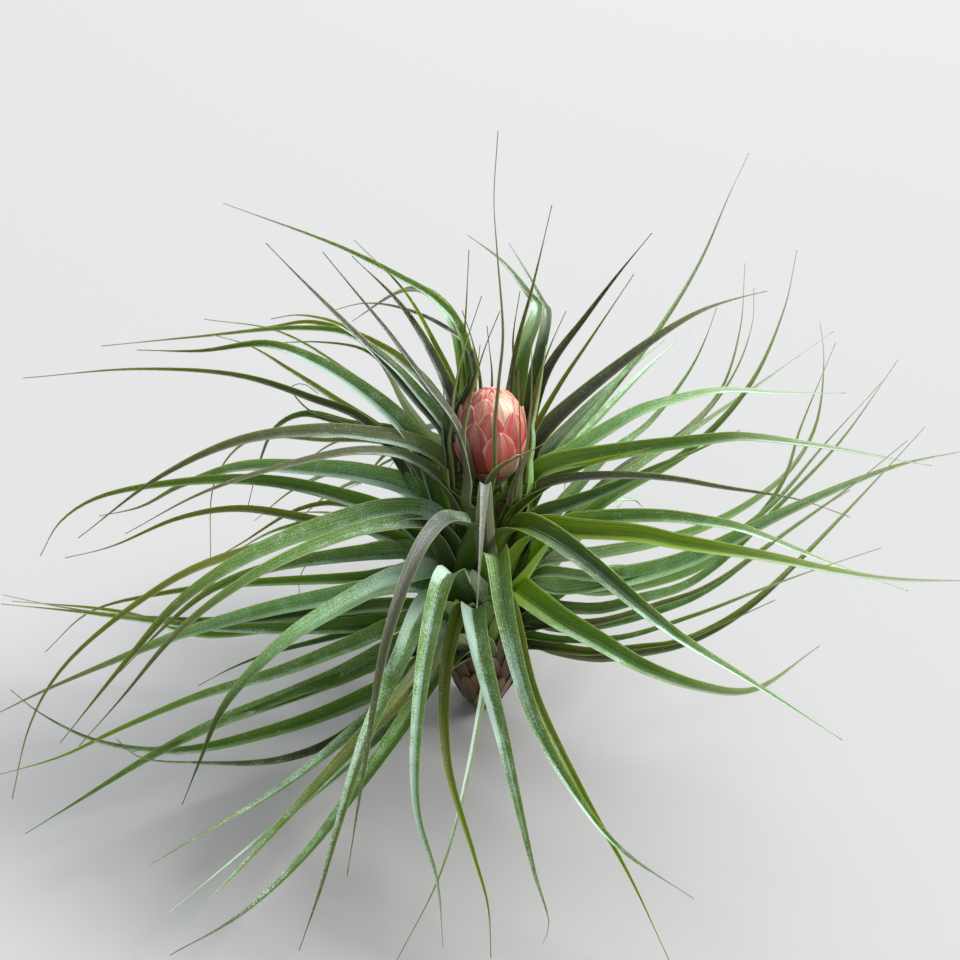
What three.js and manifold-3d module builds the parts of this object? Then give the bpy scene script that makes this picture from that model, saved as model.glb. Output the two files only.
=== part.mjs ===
// Air plant: a rosette of long, narrow, channelled leaves round a short stem, with one
// egg-shaped flower bud. Millimetres, +Z up, +X to the right as seen from the front (-Y).
import * as THREE from 'three';
import { mergeVertices } from 'three/addons/utils/BufferGeometryUtils.js';
import Module from 'manifold-3d';

const wasm = await Module();
wasm.setup();

// The view in which the leaf guide points are read: a 960 x 960 picture, seen from the
// front and 30 degrees above, with the stem's foot on the origin.
const EYE = new THREE.Vector3(-0.9, -242.6, 221.5);
const VIEW_PITCH = THREE.MathUtils.degToRad(30);
const FOCAL_PX = 993;
const CENTRE_PX = 480;

// Stem: rings of [height, radius], leaning a little to +X at the top.
const STEM_RINGS = [
  [0, 4.6], [3, 6.6], [9, 8.8], [18, 10.4], [32, 10.6], [46, 9], [58, 7], [70, 5.4], [81.9, 4.6],
];
const STEM_SIDES = 14;
const STEM_LEAN = 2.2;
const STEM_TOP = 81.9;

// Leaves grow from inside the stem.
const ROOT_RADIUS = 3;
const NECK_RADIUS = 10.5;
const NECK_RISE = 9;
const NECK_CLEAR = 15;
const RANK_REACH = 22;
const ROOT_LOW = 14;
const ROOT_HIGH = 74;

// Blade: how its width falls to the tip and swells from the foot; rise of the edges per half
// width, degrees by which side leaves lean to the front, depth of the keel, least sizes.
const TAPER = 1.15;
const FULLNESS = 1.12;
const FOOT_SHARE = 0.3;
const FOOT_SWELL = 2.6;
const EDGE_RISE = 0.55;
const LEAN_TO_FRONT = 24;
const KEEL_DEPTH = 1.15;
const MIN_DEPTH = 0.7;
const MIN_HALF_WIDTH = 0.5;
const WIDE_BLADE = 8.4;
const STEP_LENGTH = 18;

// Flower bud: an egg and the bracts that lie over it, from the lowest to the highest. Each
// bract: bearing in degrees, share of the bud's height at its foot and at its tip, width.
const BUD = { x: 2.2, z: 95.6, radius: 9.2, half: 13.8 };
const BRACTS = [
  [312, 0.02, 0.44, 11.4], [171, 0.02, 0.4, 11], [34, 0.02, 0.4, 11], [262, 0.02, 0.26, 11],
  [118, 0.03, 0.46, 11], [345, 0.04, 0.56, 11], [206, 0.05, 0.58, 11.2], [75, 0.05, 0.5, 11],
  [240, 0.06, 0.76, 11.4], [283, 0.1, 0.69, 11.4], [150, 0.12, 0.62, 11], [55, 0.16, 0.64, 11],
  [20, 0.22, 0.74, 11], [316, 0.24, 0.82, 11.4], [100, 0.26, 0.74, 11], [268, 0.28, 0.85, 11.4],
  [216, 0.3, 0.87, 11.2], [178, 0.3, 0.8, 11], [350, 0.34, 0.9, 11], [135, 0.36, 0.84, 10.6],
  [60, 0.4, 0.86, 10.6], [294, 0.46, 0.965, 10.8], [250, 0.5, 0.95, 10.4], [30, 0.52, 0.94, 9.8],
  [90, 0.54, 0.94, 9.8], [160, 0.56, 0.95, 9.6], [330, 0.6, 0.98, 9.2], [212, 0.62, 0.98, 9],
  [120, 0.7, 0.98, 7.8], [60, 0.74, 0.985, 7.4], [272, 0.76, 0.99, 6.6], [180, 0.78, 0.99, 6],
];
const BRACT_RINGS = [0, 0.3, 0.6, 0.85, 1];
const BRACT_LIFT = 0.35;
const BRACT_EDGE_DROP = 0.25;
const BRACT_DEPTH = 1.6;
const BUD_GAP = 1.3;
const BUD_CLEAR = 1.6;
const GOLDEN_ANGLE = 137.508;

// Leaves read one by one. Each row: name, width, bearing in degrees (0 right, 90 back,
// 180 left, 270 front), roll, then guide points along the blade. A guide point
// is [across, down] in the picture, on the upright plane of the leaf's bearing, or
// [across, down, depth] with its own depth along +Y.
const LEAVES = [
  ['bl1', 3.9, 136, 0, [462, 332], [436, 299], [400, 277], [340, 247], [223, 203]],
  ['bl2', 7.2, 170, 0, [456, 452], [440, 426], [420, 403], [400, 380], [380, 358], [360, 338],
    [333, 311], [300, 278], [266, 243]],
  ['bl3', 5.4, 190, 0, [473, 490, -8], [470, 470, -11], [465, 447, -11.5], [457, 426, -10.5],
    [448, 411, -8], [430, 388, -5], [410, 361, -2], [387, 330, 1], [355, 291, 4], [323, 252, 7]],
  ['bl4', 7, 150, 0, [452, 400], [430, 350], [400, 304], [352, 256]],
  ['bl5', 3.6, 138, 0, [456, 392], [433, 340], [405, 292], [354, 240]],
  ['bl6', 6.6, 118, 0, [466, 380], [455, 325], [430, 294], [405, 289], [352, 321]],
  ['bl7', 3, 128, 0, [470, 350], [446, 328], [405, 309], [365, 303], [330, 311]],
  ['bl8', 4, 160, 0, [440, 426], [420, 402], [400, 379], [375, 352], [350, 334], [300, 328],
    [193, 337], [101, 346]],
  ['bl9', 7.4, 168, 0, [455, 442], [440, 418], [420, 395], [400, 372], [380, 354], [360, 338],
    [340, 325], [320, 318], [295, 315], [271, 319]],
  ['bl9b', 5.4, 156, 0, [456, 428], [440, 403], [425, 382], [410, 367], [395, 355], [380, 346],
    [355, 334], [310, 322], [271, 327], [210, 335]],
  ['bl10', 9.2, 176, -10, [415, 440], [360, 388], [300, 354], [265, 344], [200, 351], [137, 350]],
  ['bl11', 4.5, 172, 0, [370, 425], [310, 398], [240, 376], [140, 369], [23, 378]],
  ['bl12', 3.4, 148, 0, [400, 418], [340, 367], [280, 332], [204, 319]],
  ['bl12b', 6, 166, 0, [400, 448], [330, 396], [290, 370], [250, 346], [210, 334]],
  ['bl13', 3, 150, 0, [440, 430], [420, 407], [400, 384], [380, 361], [362, 349], [320, 342],
    [255, 344]],
  ['blf', 4, 166, 0, [380, 436], [340, 420], [310, 411], [291, 388], [303, 384], [318, 394]],
  ['f1', 7, 166, 0, [410, 440], [350, 425], [305, 414], [275, 428], [258, 466], [248, 505]],
  ['f2', 3, 164, 0, [400, 450], [320, 440], [250, 440], [215, 480], [210, 562]],
  ['a1', 8.5, 187, 0, [455, 474], [440, 457], [420, 446], [400, 440], [370, 435], [320, 431],
    [240, 441], [160, 477], [78, 538]],
  ['b1', 5.6, 196, 0, [450, 490], [410, 458], [360, 451], [280, 467], [200, 494], [125, 534]],
  ['c1', 10.4, 178, 0, [420, 495], [360, 474], [300, 468], [240, 467], [180, 486], [140, 507],
    [99, 516]],
  ['d1', 8, 181, 0, [400, 520], [330, 494], [270, 482], [200, 481], [100, 497], [60, 522], [40, 556]],
  ['e1', 6, 186, 0, [400, 540], [320, 522], [240, 509], [180, 518], [110, 547], [65, 558]],
  ['e2', 4, 176, 0, [400, 530], [340, 504], [300, 509], [240, 544], [200, 567]],
  ['g0', 5, 204, 0, [420, 520], [340, 530], [250, 550], [180, 576], [85, 645], [50, 685], [28, 730],
    [12, 799]],
  ['g1', 10.2, 207, 0, [440, 518], [400, 511], [340, 522], [250, 556], [180, 602], [130, 657],
    [60, 743]],
  ['h1', 7.6, 219, 0, [430, 527], [380, 526], [300, 552], [240, 584], [180, 630], [120, 700],
    [79, 746]],
  ['i1', 8.6, 192, 0, [430, 553], [390, 552], [330, 558], [270, 568], [215, 588], [170, 622],
    [120, 672]],
  ['j1', 5.5, 181, 0, [420, 572], [360, 578], [240, 584], [160, 594], [90, 612], [45, 652]],
  ['jt', 3, 172, 0, [400, 545], [340, 552], [308, 563], [299, 582], [300, 600]],
  ['k1', 8.8, 197, 0, [420, 586], [340, 596], [260, 612], [180, 635], [122, 658], [46, 690],
    [-20, 722]],
  ['k2', 6.2, 184, 0, [400, 606], [320, 612], [230, 621], [130, 617], [60, 607], [3, 595]],
  ['k3', 7.2, 190, 0, [400, 622], [320, 628], [220, 628], [140, 620], [80, 612], [1, 604]],
  ['k4', 7, 175, 0, [400, 618], [300, 624], [200, 634], [120, 612], [12, 601]],
  ['l1', 10.4, 222, 0, [440, 572], [400, 577], [340, 606], [280, 645], [225, 705], [200, 761],
    [182, 805]],
  ['l2', 5, 188, 0, [390, 622], [330, 638], [265, 655], [230, 669], [198, 686]],
  ['m1', 7, 202, 0, [420, 618], [350, 645], [280, 672], [200, 696], [120, 729], [60, 757], [-10, 777]],
  ['n1', 9.5, 208, 0, [420, 640], [340, 677], [280, 700], [220, 722], [150, 757], [80, 800], [25, 834]],
  ['n2', 7, 208, 0, [410, 650], [350, 675], [300, 692], [240, 716], [180, 742], [130, 752]],
  ['o1', 7.5, 204, 0, [400, 680], [330, 712], [270, 732], [180, 751], [100, 742], [40, 713], [11, 690]],
  ['p1', 5.5, 217, 0, [400, 690], [340, 738], [280, 760], [200, 763], [140, 757], [117, 739]],
  ['q1', 6.5, 228, 0, [410, 680], [340, 742], [280, 788], [204, 833], [150, 865]],
  ['r1', 8.4, 234, 0, [448, 630], [420, 675], [355, 745], [300, 803], [240, 868], [185, 924]],
  ['r2', 6, 232, 0, [430, 680], [375, 738], [320, 788], [230, 863], [170, 912]],
  ['s1', 7, 240, 0, [435, 675], [400, 728], [355, 790], [300, 860], [240, 915], [170, 955]],
  ['t1', 8.8, 240, 0, [430, 600, -24], [400, 660, -44], [365, 740, -62], [337, 830, -77],
    [320, 890, -85], [299, 951, -92]],
  ['u1', 6.6, 232, 0, [476, 524, -15], [462, 519, -21], [446, 518, -30], [432, 530, -38],
    [415, 558, -47], [387, 640, -62], [365, 765, -76], [347, 876, -84]],
  ['v1', 8.2, 262, 0, [447, 572, -28], [428, 640, -44], [415, 760, -65], [418, 815, -73],
    [437, 880, -83], [443, 948, -92]],
  ['w1', 5.8, 255, 0, [462, 605, -24], [446, 670, -42], [447, 760, -62], [474, 855, -80],
    [488, 905, -88], [491, 958, -94]],
  ['aa', 3, 262, 0, [487, 660, -26], [478, 722, -42], [457, 818, -66], [437, 882, -80],
    [396, 962, -94]],
  ['x1', 8.8, 268, 0, [473, 607, -28], [478, 640, -40], [490, 690, -51], [503, 740, -62],
    [517, 800, -72], [535, 875, -84], [549, 926, -92], [541, 946, -95]],
  ['y1', 8.4, 280, 14, [497, 552, -24], [507, 620, -42], [535, 720, -60], [580, 800, -76],
    [620, 848, -86], [694, 899, -92]],
  ['z1', 5.4, 282, 0, [508, 600, -30], [534, 694, -52], [584, 795, -72], [629, 875, -84],
    [669, 960, -95]],
  ['sb', 6.4, 272, 0, [485, 498, -24], [485, 486, -42], [481, 545, -62], [477, 608, -78]],
  ['hd', 13, 264, 0, [468, 570, -24], [470, 583, -33]],
  ['bb', 10.6, 320, 0, [510, 586], [530, 599], [560, 620], [600, 643], [640, 666], [700, 687],
    [750, 691], [819, 646]],
  ['cc', 9.9, 308, 0, [500, 532], [520, 523], [540, 530], [560, 542], [600, 573], [640, 607],
    [680, 638], [750, 681], [842, 740]],
  ['dd', 9.8, 334, 0, [530, 530], [580, 531], [640, 535], [680, 543], [760, 556], [880, 578],
    [985, 581]],
  ['ee', 8, 345, 0, [560, 527], [600, 519], [660, 516.5], [700, 520.5], [740, 528], [830, 563],
    [908, 591]],
  ['ff', 5.2, 346, 0, [512, 504], [540, 486], [560, 480], [600, 476], [640, 476], [680, 480],
    [720, 487], [800, 500], [850, 517]],
  ['gg', 9, 358, 0, [508, 494], [530, 475], [560, 463], [600, 455.5], [640, 449], [700, 441],
    [740, 437], [820, 446], [932, 466]],
  ['hh', 8, 16, 0, [530, 478], [565, 456], [600, 434], [640, 411], [680, 398.5], [720, 390.5],
    [790, 393], [846, 393]],
  ['ae', 10.6, 0, 0, [520, 581], [560, 585], [600, 581], [640, 574.5], [680, 563], [720, 546],
    [770, 520], [830, 492], [900, 465], [975, 449]],
  ['af', 5.8, 347, 0, [520, 640], [560, 651], [600, 657], [640, 652], [680, 644], [720, 626],
    [760, 598], [800, 560], [850, 508], [925, 427]],
  ['af2', 5, 352, 0, [520, 622], [560, 628], [600, 625], [640, 616], [690, 599], [720, 582],
    [745, 563], [790, 530], [850, 487], [908, 440]],
  ['ag', 3.2, 337, 0, [560, 640], [620, 638], [690, 617], [720, 606], [760, 590], [820, 568],
    [881, 548]],
  ['ab1', 6, 15, 0, [530, 566], [600, 553, 12], [650, 544, 18], [700, 529, 25], [750, 503, 36],
    [790, 470, 46], [816, 425, 57], [824, 358, 68], [820, 322, 72]],
  ['ab2', 5.6, 8, 0, [530, 588], [600, 591, 6], [650, 583, 11], [690, 571, 16], [720, 555, 22],
    [755, 522, 30], [785, 478, 38], [800, 430, 48], [836, 342, 58]],
  ['ac', 5, 3, 0, [530, 575], [600, 577, 0], [660, 566, 4], [715, 546, 9], [770, 507, 18],
    [826, 443, 32], [881, 383, 42]],
  ['ad', 5, 355, 0, [530, 605], [560, 608, -6], [600, 609, -5], [640, 599, -3], [680, 588, 0],
    [705, 574, 3], [735, 550, 7], [780, 505, 12], [840, 442, 20], [898, 360, 32]],
  ['al', 3.8, 343, 0, [530, 628], [600, 622], [660, 604], [700, 590], [746, 562], [815, 512],
    [850, 490]],
  ['am', 4.4, 336, 0, [530, 645], [590, 652], [640, 647], [680, 641], [720, 625], [775, 600]],
  ['ii', 8.4, 24, 0, [534, 447], [550, 425], [580, 397], [620, 364.5], [660, 335], [700, 311.5],
    [735, 299], [767, 291]],
  ['jj', 6.4, 32, 0, [535, 405], [550, 366], [585, 318], [620, 272], [652, 233]],
  ['kk', 4, 12, 0, [530, 440], [560, 385], [590, 340], [634, 274]],
  ['uu', 4.8, 50, 0, [560, 450], [600, 403], [655, 335], [700, 262], [730, 193], [749, 153]],
  ['vv', 6.4, 48, 0, [600, 462], [650, 422], [690, 370], [705, 340], [717, 307]],
  ['ww', 4.4, 44, 0, [620, 470], [680, 434], [722, 388], [740, 330], [745, 263]],
  ['xx', 4, 40, 0, [620, 475], [695, 425], [735, 372], [752, 325], [754, 288]],
  ['yy', 5.6, 24, 0, [600, 505], [690, 450], [750, 385], [784, 310], [797, 250]],
  ['zz', 4.5, 36, 0, [620, 480], [700, 425], [765, 380], [834, 331]],
  ['ss', 6.8, 48, 0, [517, 395, 10], [524, 350, 16], [538, 309, 30], [527, 292, 50], [500, 259, 80],
    [468, 235, 110]],
  ['tt', 5.8, 38, 0, [528, 405, 9], [541, 350, 15], [547, 313, 28], [541, 300, 40], [524, 268, 66],
    [509, 243, 92]],
  ['m2', 7, 50, 0, [545, 455], [575, 420], [600, 395], [640, 360], [665, 340]],
  ['m3', 6.4, 58, 0, [550, 462], [590, 425], [620, 395], [650, 365], [690, 330]],
  ['m4', 7, 150, 0, [456, 452], [445, 432], [436, 414], [424, 397], [405, 375]],
  ['m5', 9.2, 160, -28, [454, 472], [440, 454], [428, 438], [415, 419], [402, 399], [390, 377],
    [378, 360], [366, 347]],
  ['m6', 8, 8, 0, [535, 519], [570, 504], [600, 493], [630, 480], [660, 466], [700, 449], [740, 430]],
  ['m7', 9.6, 352, 0, [508, 518], [530, 496], [550, 482], [575, 469], [610, 458], [650, 448]],
  ['s1a', 1.5, 275, 0, [494, 475, -13], [495, 425, -13.5], [499, 380, -13], [503, 335, -11],
    [497, 250, -6], [494, 200, -2], [498, 131, 6]],
  ['s2', 3, 60, 0, [510, 385, 11], [517, 345, 12], [533, 285, 12], [552, 205, 12]],
  ['s3', 2.5, 150, 0, [457, 400, 6], [463, 350, 6], [466, 310, 6], [469, 250, 4]],
  ['s4', 2.5, 190, 0, [453, 420, -2], [458, 375, -2], [468, 338, -3], [482, 296, -4]],
  ['s5', 2.7, 235, 0, [463, 440, -12], [473, 388, -13], [485, 348, -12], [500, 311, -10]],
  ['s6', 2.7, 78, 0, [515, 385, 12], [513, 340, 13], [520, 291, 13]],
  ['s7', 3.4, 28, 0, [530, 420, 6], [540, 375, 8], [552, 342, 9], [566, 311, 10]],
  ['s8', 2, 308, 0, [519, 468, -11], [520, 435, -11.5], [519, 402, -12], [518, 372, -11]],
  ['s9', 2.3, 330, 0, [523, 465, -8], [528, 430, -7], [531, 400, -6], [531, 335, -5]],
  ['s10', 3.6, 345, 0, [522, 475, -3], [527, 450, -3], [531, 430, -2], [536, 408, -1], [541, 380, 0],
    [546, 345, 1]],
  ['s11', 2.3, 170, 0, [449, 440, 3], [445, 409, 4], [443, 373, 5]],
  ['s12', 2.3, 100, 0, [492, 380, 13], [489, 345, 14], [487, 326, 14]],
  ['s13', 2.3, 120, 0, [476, 390, 12], [478, 365, 13], [480, 345, 13]],
  ['s14', 7.6, 300, 0, [488, 500, -13], [490, 482, -15], [500, 466, -18], [515, 457, -20],
    [530, 451, -22], [546, 442, -24]],
  ['s15', 3, 105, 0, [480, 380, 13], [472, 340, 16], [462, 310, 18]],
];

// Leaves that nothing in the picture shows: they close the ring at the back and below.
const HIDDEN = {
  count: 24, middle: 92, lowSpread: 128, highSpread: 62, low: 12, high: 66, reach: 98, width: 7.6,
  crest: 72, seed: 7,
};

function seeded(seed) {
  let state = seed;
  return () => {
    state = (state * 16807) % 2147483647;
    return state / 2147483647;
  };
}

// The point of a bearing's upright plane, or of a depth, that the picture point shows.
function picturePoint(u, v, bearing, depth) {
  const a = (u - CENTRE_PX) / FOCAL_PX;
  const b = (v - CENTRE_PX) / FOCAL_PX;
  const ray = new THREE.Vector3(
    a,
    Math.cos(VIEW_PITCH) - b * Math.sin(VIEW_PITCH),
    -Math.sin(VIEW_PITCH) - b * Math.cos(VIEW_PITCH),
  );
  if (depth !== undefined) return ray.multiplyScalar((depth - EYE.y) / ray.y).add(EYE);
  const side = new THREE.Vector3(Math.sin(bearing), -Math.cos(bearing), 0);
  return ray.multiplyScalar(-EYE.dot(side) / ray.dot(side)).add(EYE);
}

function around(radius, bearing, height) {
  return new THREE.Vector3(radius * Math.cos(bearing), radius * Math.sin(bearing), height);
}

// Closed body through rings of points, each ring seen the same way round.
function loft(rings) {
  const n = rings[0].length;
  const points = rings.flat();
  const faces = [];
  for (let k = 0; k + 1 < rings.length; k += 1) {
    for (let i = 0; i < n; i += 1) {
      const j = (i + 1) % n;
      faces.push([k * n + i, k * n + j, (k + 1) * n + j], [k * n + i, (k + 1) * n + j, (k + 1) * n + i]);
    }
  }
  const last = (rings.length - 1) * n;
  for (let i = 1; i + 1 < n; i += 1) {
    faces.push([0, i + 1, i], [last, last + i, last + i + 1]);
  }
  return solid(points, faces);
}

// Manifold body from points and triangles, turned to face out.
function solid(points, faces) {
  let volume = 0;
  for (const [a, b, c] of faces) {
    volume += points[a].dot(new THREE.Vector3().crossVectors(points[b], points[c]));
  }
  const turned = volume < 0 ? faces.map(([a, b, c]) => [a, c, b]) : faces;
  return new wasm.Manifold(new wasm.Mesh({
    numProp: 3,
    vertProperties: Float32Array.from(points.flatMap((p) => [p.x, p.y, p.z])),
    triVerts: Uint32Array.from(turned.flat()),
  }));
}

// Half width of a blade at share s of its length.
function halfWidth(width, s) {
  const foot = Math.min(1, FOOT_SHARE + FOOT_SWELL * s);
  return Math.max(MIN_HALF_WIDTH, 0.5 * width * FULLNESS * (1 - s) ** TAPER * foot);
}

// The same point, moved straight out where it would run through the flower bud.
function clearOfBud(point, width) {
  const t = (point.z - BUD.z) / (2 * BUD.half) + 0.5;
  if (t < -0.1 || t > 1.1) return point;
  const free = eggRadius(Math.min(0.95, Math.max(0.3, t))) + BUD_CLEAR + 0.22 * width;
  const out = new THREE.Vector2(point.x - BUD.x, point.y);
  if (out.length() >= free) return point;
  out.setLength(free);
  return new THREE.Vector3(BUD.x + out.x, out.y, point.z);
}

// A channelled blade: a path, its width, the bearing it lies across and its roll.
function blade(path, width, bearing, roll) {
  const curve = new THREE.CatmullRomCurve3(path, false, 'centripetal');
  const steps = Math.max(5, Math.round(curve.getLength() / STEP_LENGTH));
  const spine = curve.getSpacedPoints(steps).map((p, k) => (k > 0 ? clearOfBud(p, width) : p));
  const across = new THREE.Vector3(-Math.sin(bearing), Math.cos(bearing), 0);
  const lean = roll + THREE.MathUtils.degToRad(LEAN_TO_FRONT) * Math.cos(bearing);
  const rings = spine.map((p, k) => {
    const before = spine[Math.max(0, k - 1)];
    const along = spine[Math.min(steps, k + 1)].clone().sub(before).normalize();
    const side = across.clone().addScaledVector(along, -across.dot(along)).normalize();
    const up = new THREE.Vector3().crossVectors(along, side);
    const s = k / steps;
    const turn = lean * Math.min(1, s / 0.3);
    const wing = side.clone().multiplyScalar(Math.cos(turn)).addScaledVector(up, Math.sin(turn));
    const face = up.clone().multiplyScalar(Math.cos(turn)).addScaledVector(side, -Math.sin(turn));
    return section(p, wing, face, halfWidth(width, s), width, s);
  });
  return loft(rings);
}

// One ring of a blade: both edges, the keel and, on a wide blade, the channel's floor.
function section(p, wing, face, half, width, s) {
  const depth = Math.max(MIN_DEPTH, KEEL_DEPTH * (1 - 0.5 * s));
  const rise = half * EDGE_RISE;
  const floor = p.clone().addScaledVector(face, -0.5 * rise);
  const left = floor.clone().addScaledVector(wing, half).addScaledVector(face, rise);
  const right = floor.clone().addScaledVector(wing, -half).addScaledVector(face, rise);
  const keel = floor.clone().addScaledVector(face, -depth);
  return width < WIDE_BLADE ? [left, right, keel] : [left, floor, right, keel];
}

// Guide points of one leaf in space.
function guidesOf([, , bearingDeg, , ...guides]) {
  const bearing = THREE.MathUtils.degToRad(bearingDeg);
  return guides.map(([u, v, depth]) => picturePoint(u, v, bearing, depth));
}

// How high a leaf passes at a given reach from the stem; an upright one counts as highest.
function passingHeight(points, reach) {
  for (let k = 1; k < points.length; k += 1) {
    const from = Math.hypot(points[k - 1].x, points[k - 1].y);
    const to = Math.hypot(points[k].x, points[k].y);
    if (to >= reach) {
      const share = Math.max(0, (reach - from) / (to - from));
      return points[k - 1].z + (points[k].z - points[k - 1].z) * share;
    }
  }
  return 2 * STEM_TOP + points[points.length - 1].z;
}

// A leaf that passes higher is rooted higher, so neighbours stay in order round the stem.
function rootHeight(leaf) {
  const passing = (other) => passingHeight([around(ROOT_RADIUS, 0, 55), ...guidesOf(other)], RANK_REACH);
  const own = passing(leaf);
  const below = LEAVES.filter((other) => passing(other) < own).length;
  return ROOT_LOW + ((ROOT_HIGH - ROOT_LOW) * below) / (LEAVES.length - 1);
}

// Path of one leaf: root, a neck clear of the bud, then its guide points.
function leafPath(leaf) {
  const bearing = THREE.MathUtils.degToRad(leaf[2]);
  const root = rootHeight(leaf);
  const guides = guidesOf(leaf);
  const path = [around(ROOT_RADIUS, bearing, root)];
  if (Math.hypot(guides[0].x, guides[0].y) > NECK_CLEAR) {
    path.push(around(NECK_RADIUS, bearing, root + NECK_RISE));
  }
  return [...path, ...guides];
}

// Path of one hidden leaf: up and out of the stem, over a crest and down to a low tip.
function hiddenPath(bearing, root, reach, random) {
  const crest = Math.min(HIDDEN.crest, root + 14 + 9 * random());
  const tip = 5 + 0.35 * root + 18 * random();
  return [
    around(ROOT_RADIUS, bearing, root),
    around(reach * 0.2, bearing, root + 0.7 * (crest - root)),
    around(reach * 0.5, bearing + 0.04, crest),
    around(reach * 0.8, bearing + 0.1, 0.55 * crest + 0.45 * tip),
    around(reach, bearing + 0.16, tip),
  ];
}

// The higher a hidden leaf is rooted, the nearer it keeps to straight back.
function hiddenLeaves() {
  const random = seeded(HIDDEN.seed);
  const blades = [];
  for (let k = 0; k < HIDDEN.count; k += 1) {
    const rank = k / (HIDDEN.count - 1);
    const spread = HIDDEN.lowSpread + (HIDDEN.highSpread - HIDDEN.lowSpread) * rank;
    const turn = ((k * GOLDEN_ANGLE) / 360) % 1;
    const bearing = THREE.MathUtils.degToRad(HIDDEN.middle + (turn - 0.5) * spread);
    const root = HIDDEN.low + (HIDDEN.high - HIDDEN.low) * rank;
    const path = hiddenPath(bearing, root, HIDDEN.reach * (0.85 + 0.3 * random()), random);
    blades.push(blade(path, HIDDEN.width * (0.85 + 0.3 * random()), bearing, 0));
  }
  return blades;
}

function stemBody() {
  const rings = STEM_RINGS.map(([height, radius]) => {
    const shift = STEM_LEAN * (height / STEM_TOP) ** 3;
    return Array.from({ length: STEM_SIDES }, (_, i) => {
      const p = around(radius, (2 * Math.PI * i) / STEM_SIDES, height);
      p.x += shift;
      return p;
    });
  });
  return loft(rings);
}

// Radius of the egg at share t of its height, 0 at the foot and 1 at the top.
function eggRadius(t) {
  const up = 2 * t - 1;
  return BUD.radius * Math.sqrt(Math.max(0, 1 - up * up)) * (1 - 0.07 * up);
}

function budPoint(t, bearing, out) {
  const p = around(eggRadius(t) + out, bearing, BUD.z + BUD.half * (2 * t - 1));
  p.x += BUD.x;
  return p;
}

// The egg, or the egg grown outward to make room round it.
function eggBody(out) {
  const shares = [0.02, 0.1, 0.24, 0.42, 0.6, 0.77, 0.9, 0.985];
  return loft(shares.map((t) => Array.from({ length: 14 }, (_, i) => budPoint(t, (Math.PI * i) / 7, out))));
}

// One oval, pointed bract, from share t0 to t1 of the bud's height, lifted toward its tip.
function bract(bearing, t0, t1, width) {
  const rings = BRACT_RINGS.map((s) => {
    const t = t0 + (t1 - t0) * s;
    const half = Math.max(0.3, 0.5 * width * (1 - s ** 4) ** 0.8 * (0.9 + 0.25 * s));
    const spread = half / (eggRadius(t) + BRACT_DEPTH);
    const lift = BRACT_LIFT * (1 + s);
    return [
      budPoint(t, bearing - spread, lift - BRACT_EDGE_DROP),
      budPoint(t, bearing, lift),
      budPoint(t, bearing + spread, lift - BRACT_EDGE_DROP),
      budPoint(t, bearing, -BRACT_DEPTH),
    ];
  });
  return loft(rings);
}

function bracts() {
  return BRACTS.map(([bearingDeg, foot, tip, width]) =>
    bract(THREE.MathUtils.degToRad(bearingDeg), foot, tip, width));
}

// The largest body of a cut, without the closed pockets between crossing blades.
function outerBody(body) {
  return body.decompose().reduce((a, b) => (b.volume() > a.volume() ? b : a));
}

function toMesh(body, name, color, roughness) {
  const { vertProperties, triVerts } = body.getMesh();
  const geometry = new THREE.BufferGeometry();
  geometry.setAttribute('position', new THREE.BufferAttribute(Float32Array.from(vertProperties), 3));
  geometry.setIndex(new THREE.BufferAttribute(Uint32Array.from(triVerts), 1));
  const merged = mergeVertices(geometry, 1e-4);
  merged.computeVertexNormals();
  const mesh = new THREE.Mesh(merged, new THREE.MeshStandardMaterial({ color, roughness }));
  mesh.name = name;
  return mesh;
}

const leaves = LEAVES.map((leaf) => blade(
  leafPath(leaf),
  leaf[1],
  THREE.MathUtils.degToRad(leaf[2]),
  THREE.MathUtils.degToRad(leaf[3]),
));
const grown = wasm.Manifold.union([stemBody(), ...leaves, ...hiddenLeaves()]).subtract(eggBody(BUD_GAP));
const leafyStem = outerBody(grown);
const flowerHead = outerBody(wasm.Manifold.union([eggBody(0), ...bracts()]));

const plant = new THREE.Group();
plant.name = 'air_plant';
plant.add(toMesh(leafyStem, 'leafy_stem', 0x6f9479, 0.6));
plant.add(toMesh(flowerHead, 'flower_head', 0xd9827a, 0.5));

export default plant;
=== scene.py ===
"""The looks of an air plant: long channelled leaves, their short stem and one flower bud.

Millimetres are used in the tables and for every shape; SCALE turns them into metres.
"""

import logging
import math
from dataclasses import dataclass
from enum import Enum

import bpy
import numpy as np
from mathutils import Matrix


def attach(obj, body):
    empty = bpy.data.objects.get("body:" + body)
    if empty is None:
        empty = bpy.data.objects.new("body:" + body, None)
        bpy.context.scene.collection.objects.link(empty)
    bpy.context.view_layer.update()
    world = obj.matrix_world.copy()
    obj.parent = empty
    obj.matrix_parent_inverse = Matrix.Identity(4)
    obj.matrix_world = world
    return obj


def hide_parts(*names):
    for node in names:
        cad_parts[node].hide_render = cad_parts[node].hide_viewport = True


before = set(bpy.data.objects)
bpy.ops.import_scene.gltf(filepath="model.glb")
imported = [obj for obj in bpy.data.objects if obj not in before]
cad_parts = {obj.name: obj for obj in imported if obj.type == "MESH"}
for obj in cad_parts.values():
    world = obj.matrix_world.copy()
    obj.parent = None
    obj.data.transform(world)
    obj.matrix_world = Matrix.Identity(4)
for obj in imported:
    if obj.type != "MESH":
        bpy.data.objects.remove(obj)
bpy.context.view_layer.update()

Array = np.ndarray
Pair = tuple[float, float]
Triple = tuple[float, float, float]
Feeds = dict[int | str, object]
LOG = logging.getLogger("air_plant")
SCALE = 0.001
GOLDEN_ANGLE = math.radians(137.508)


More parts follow.
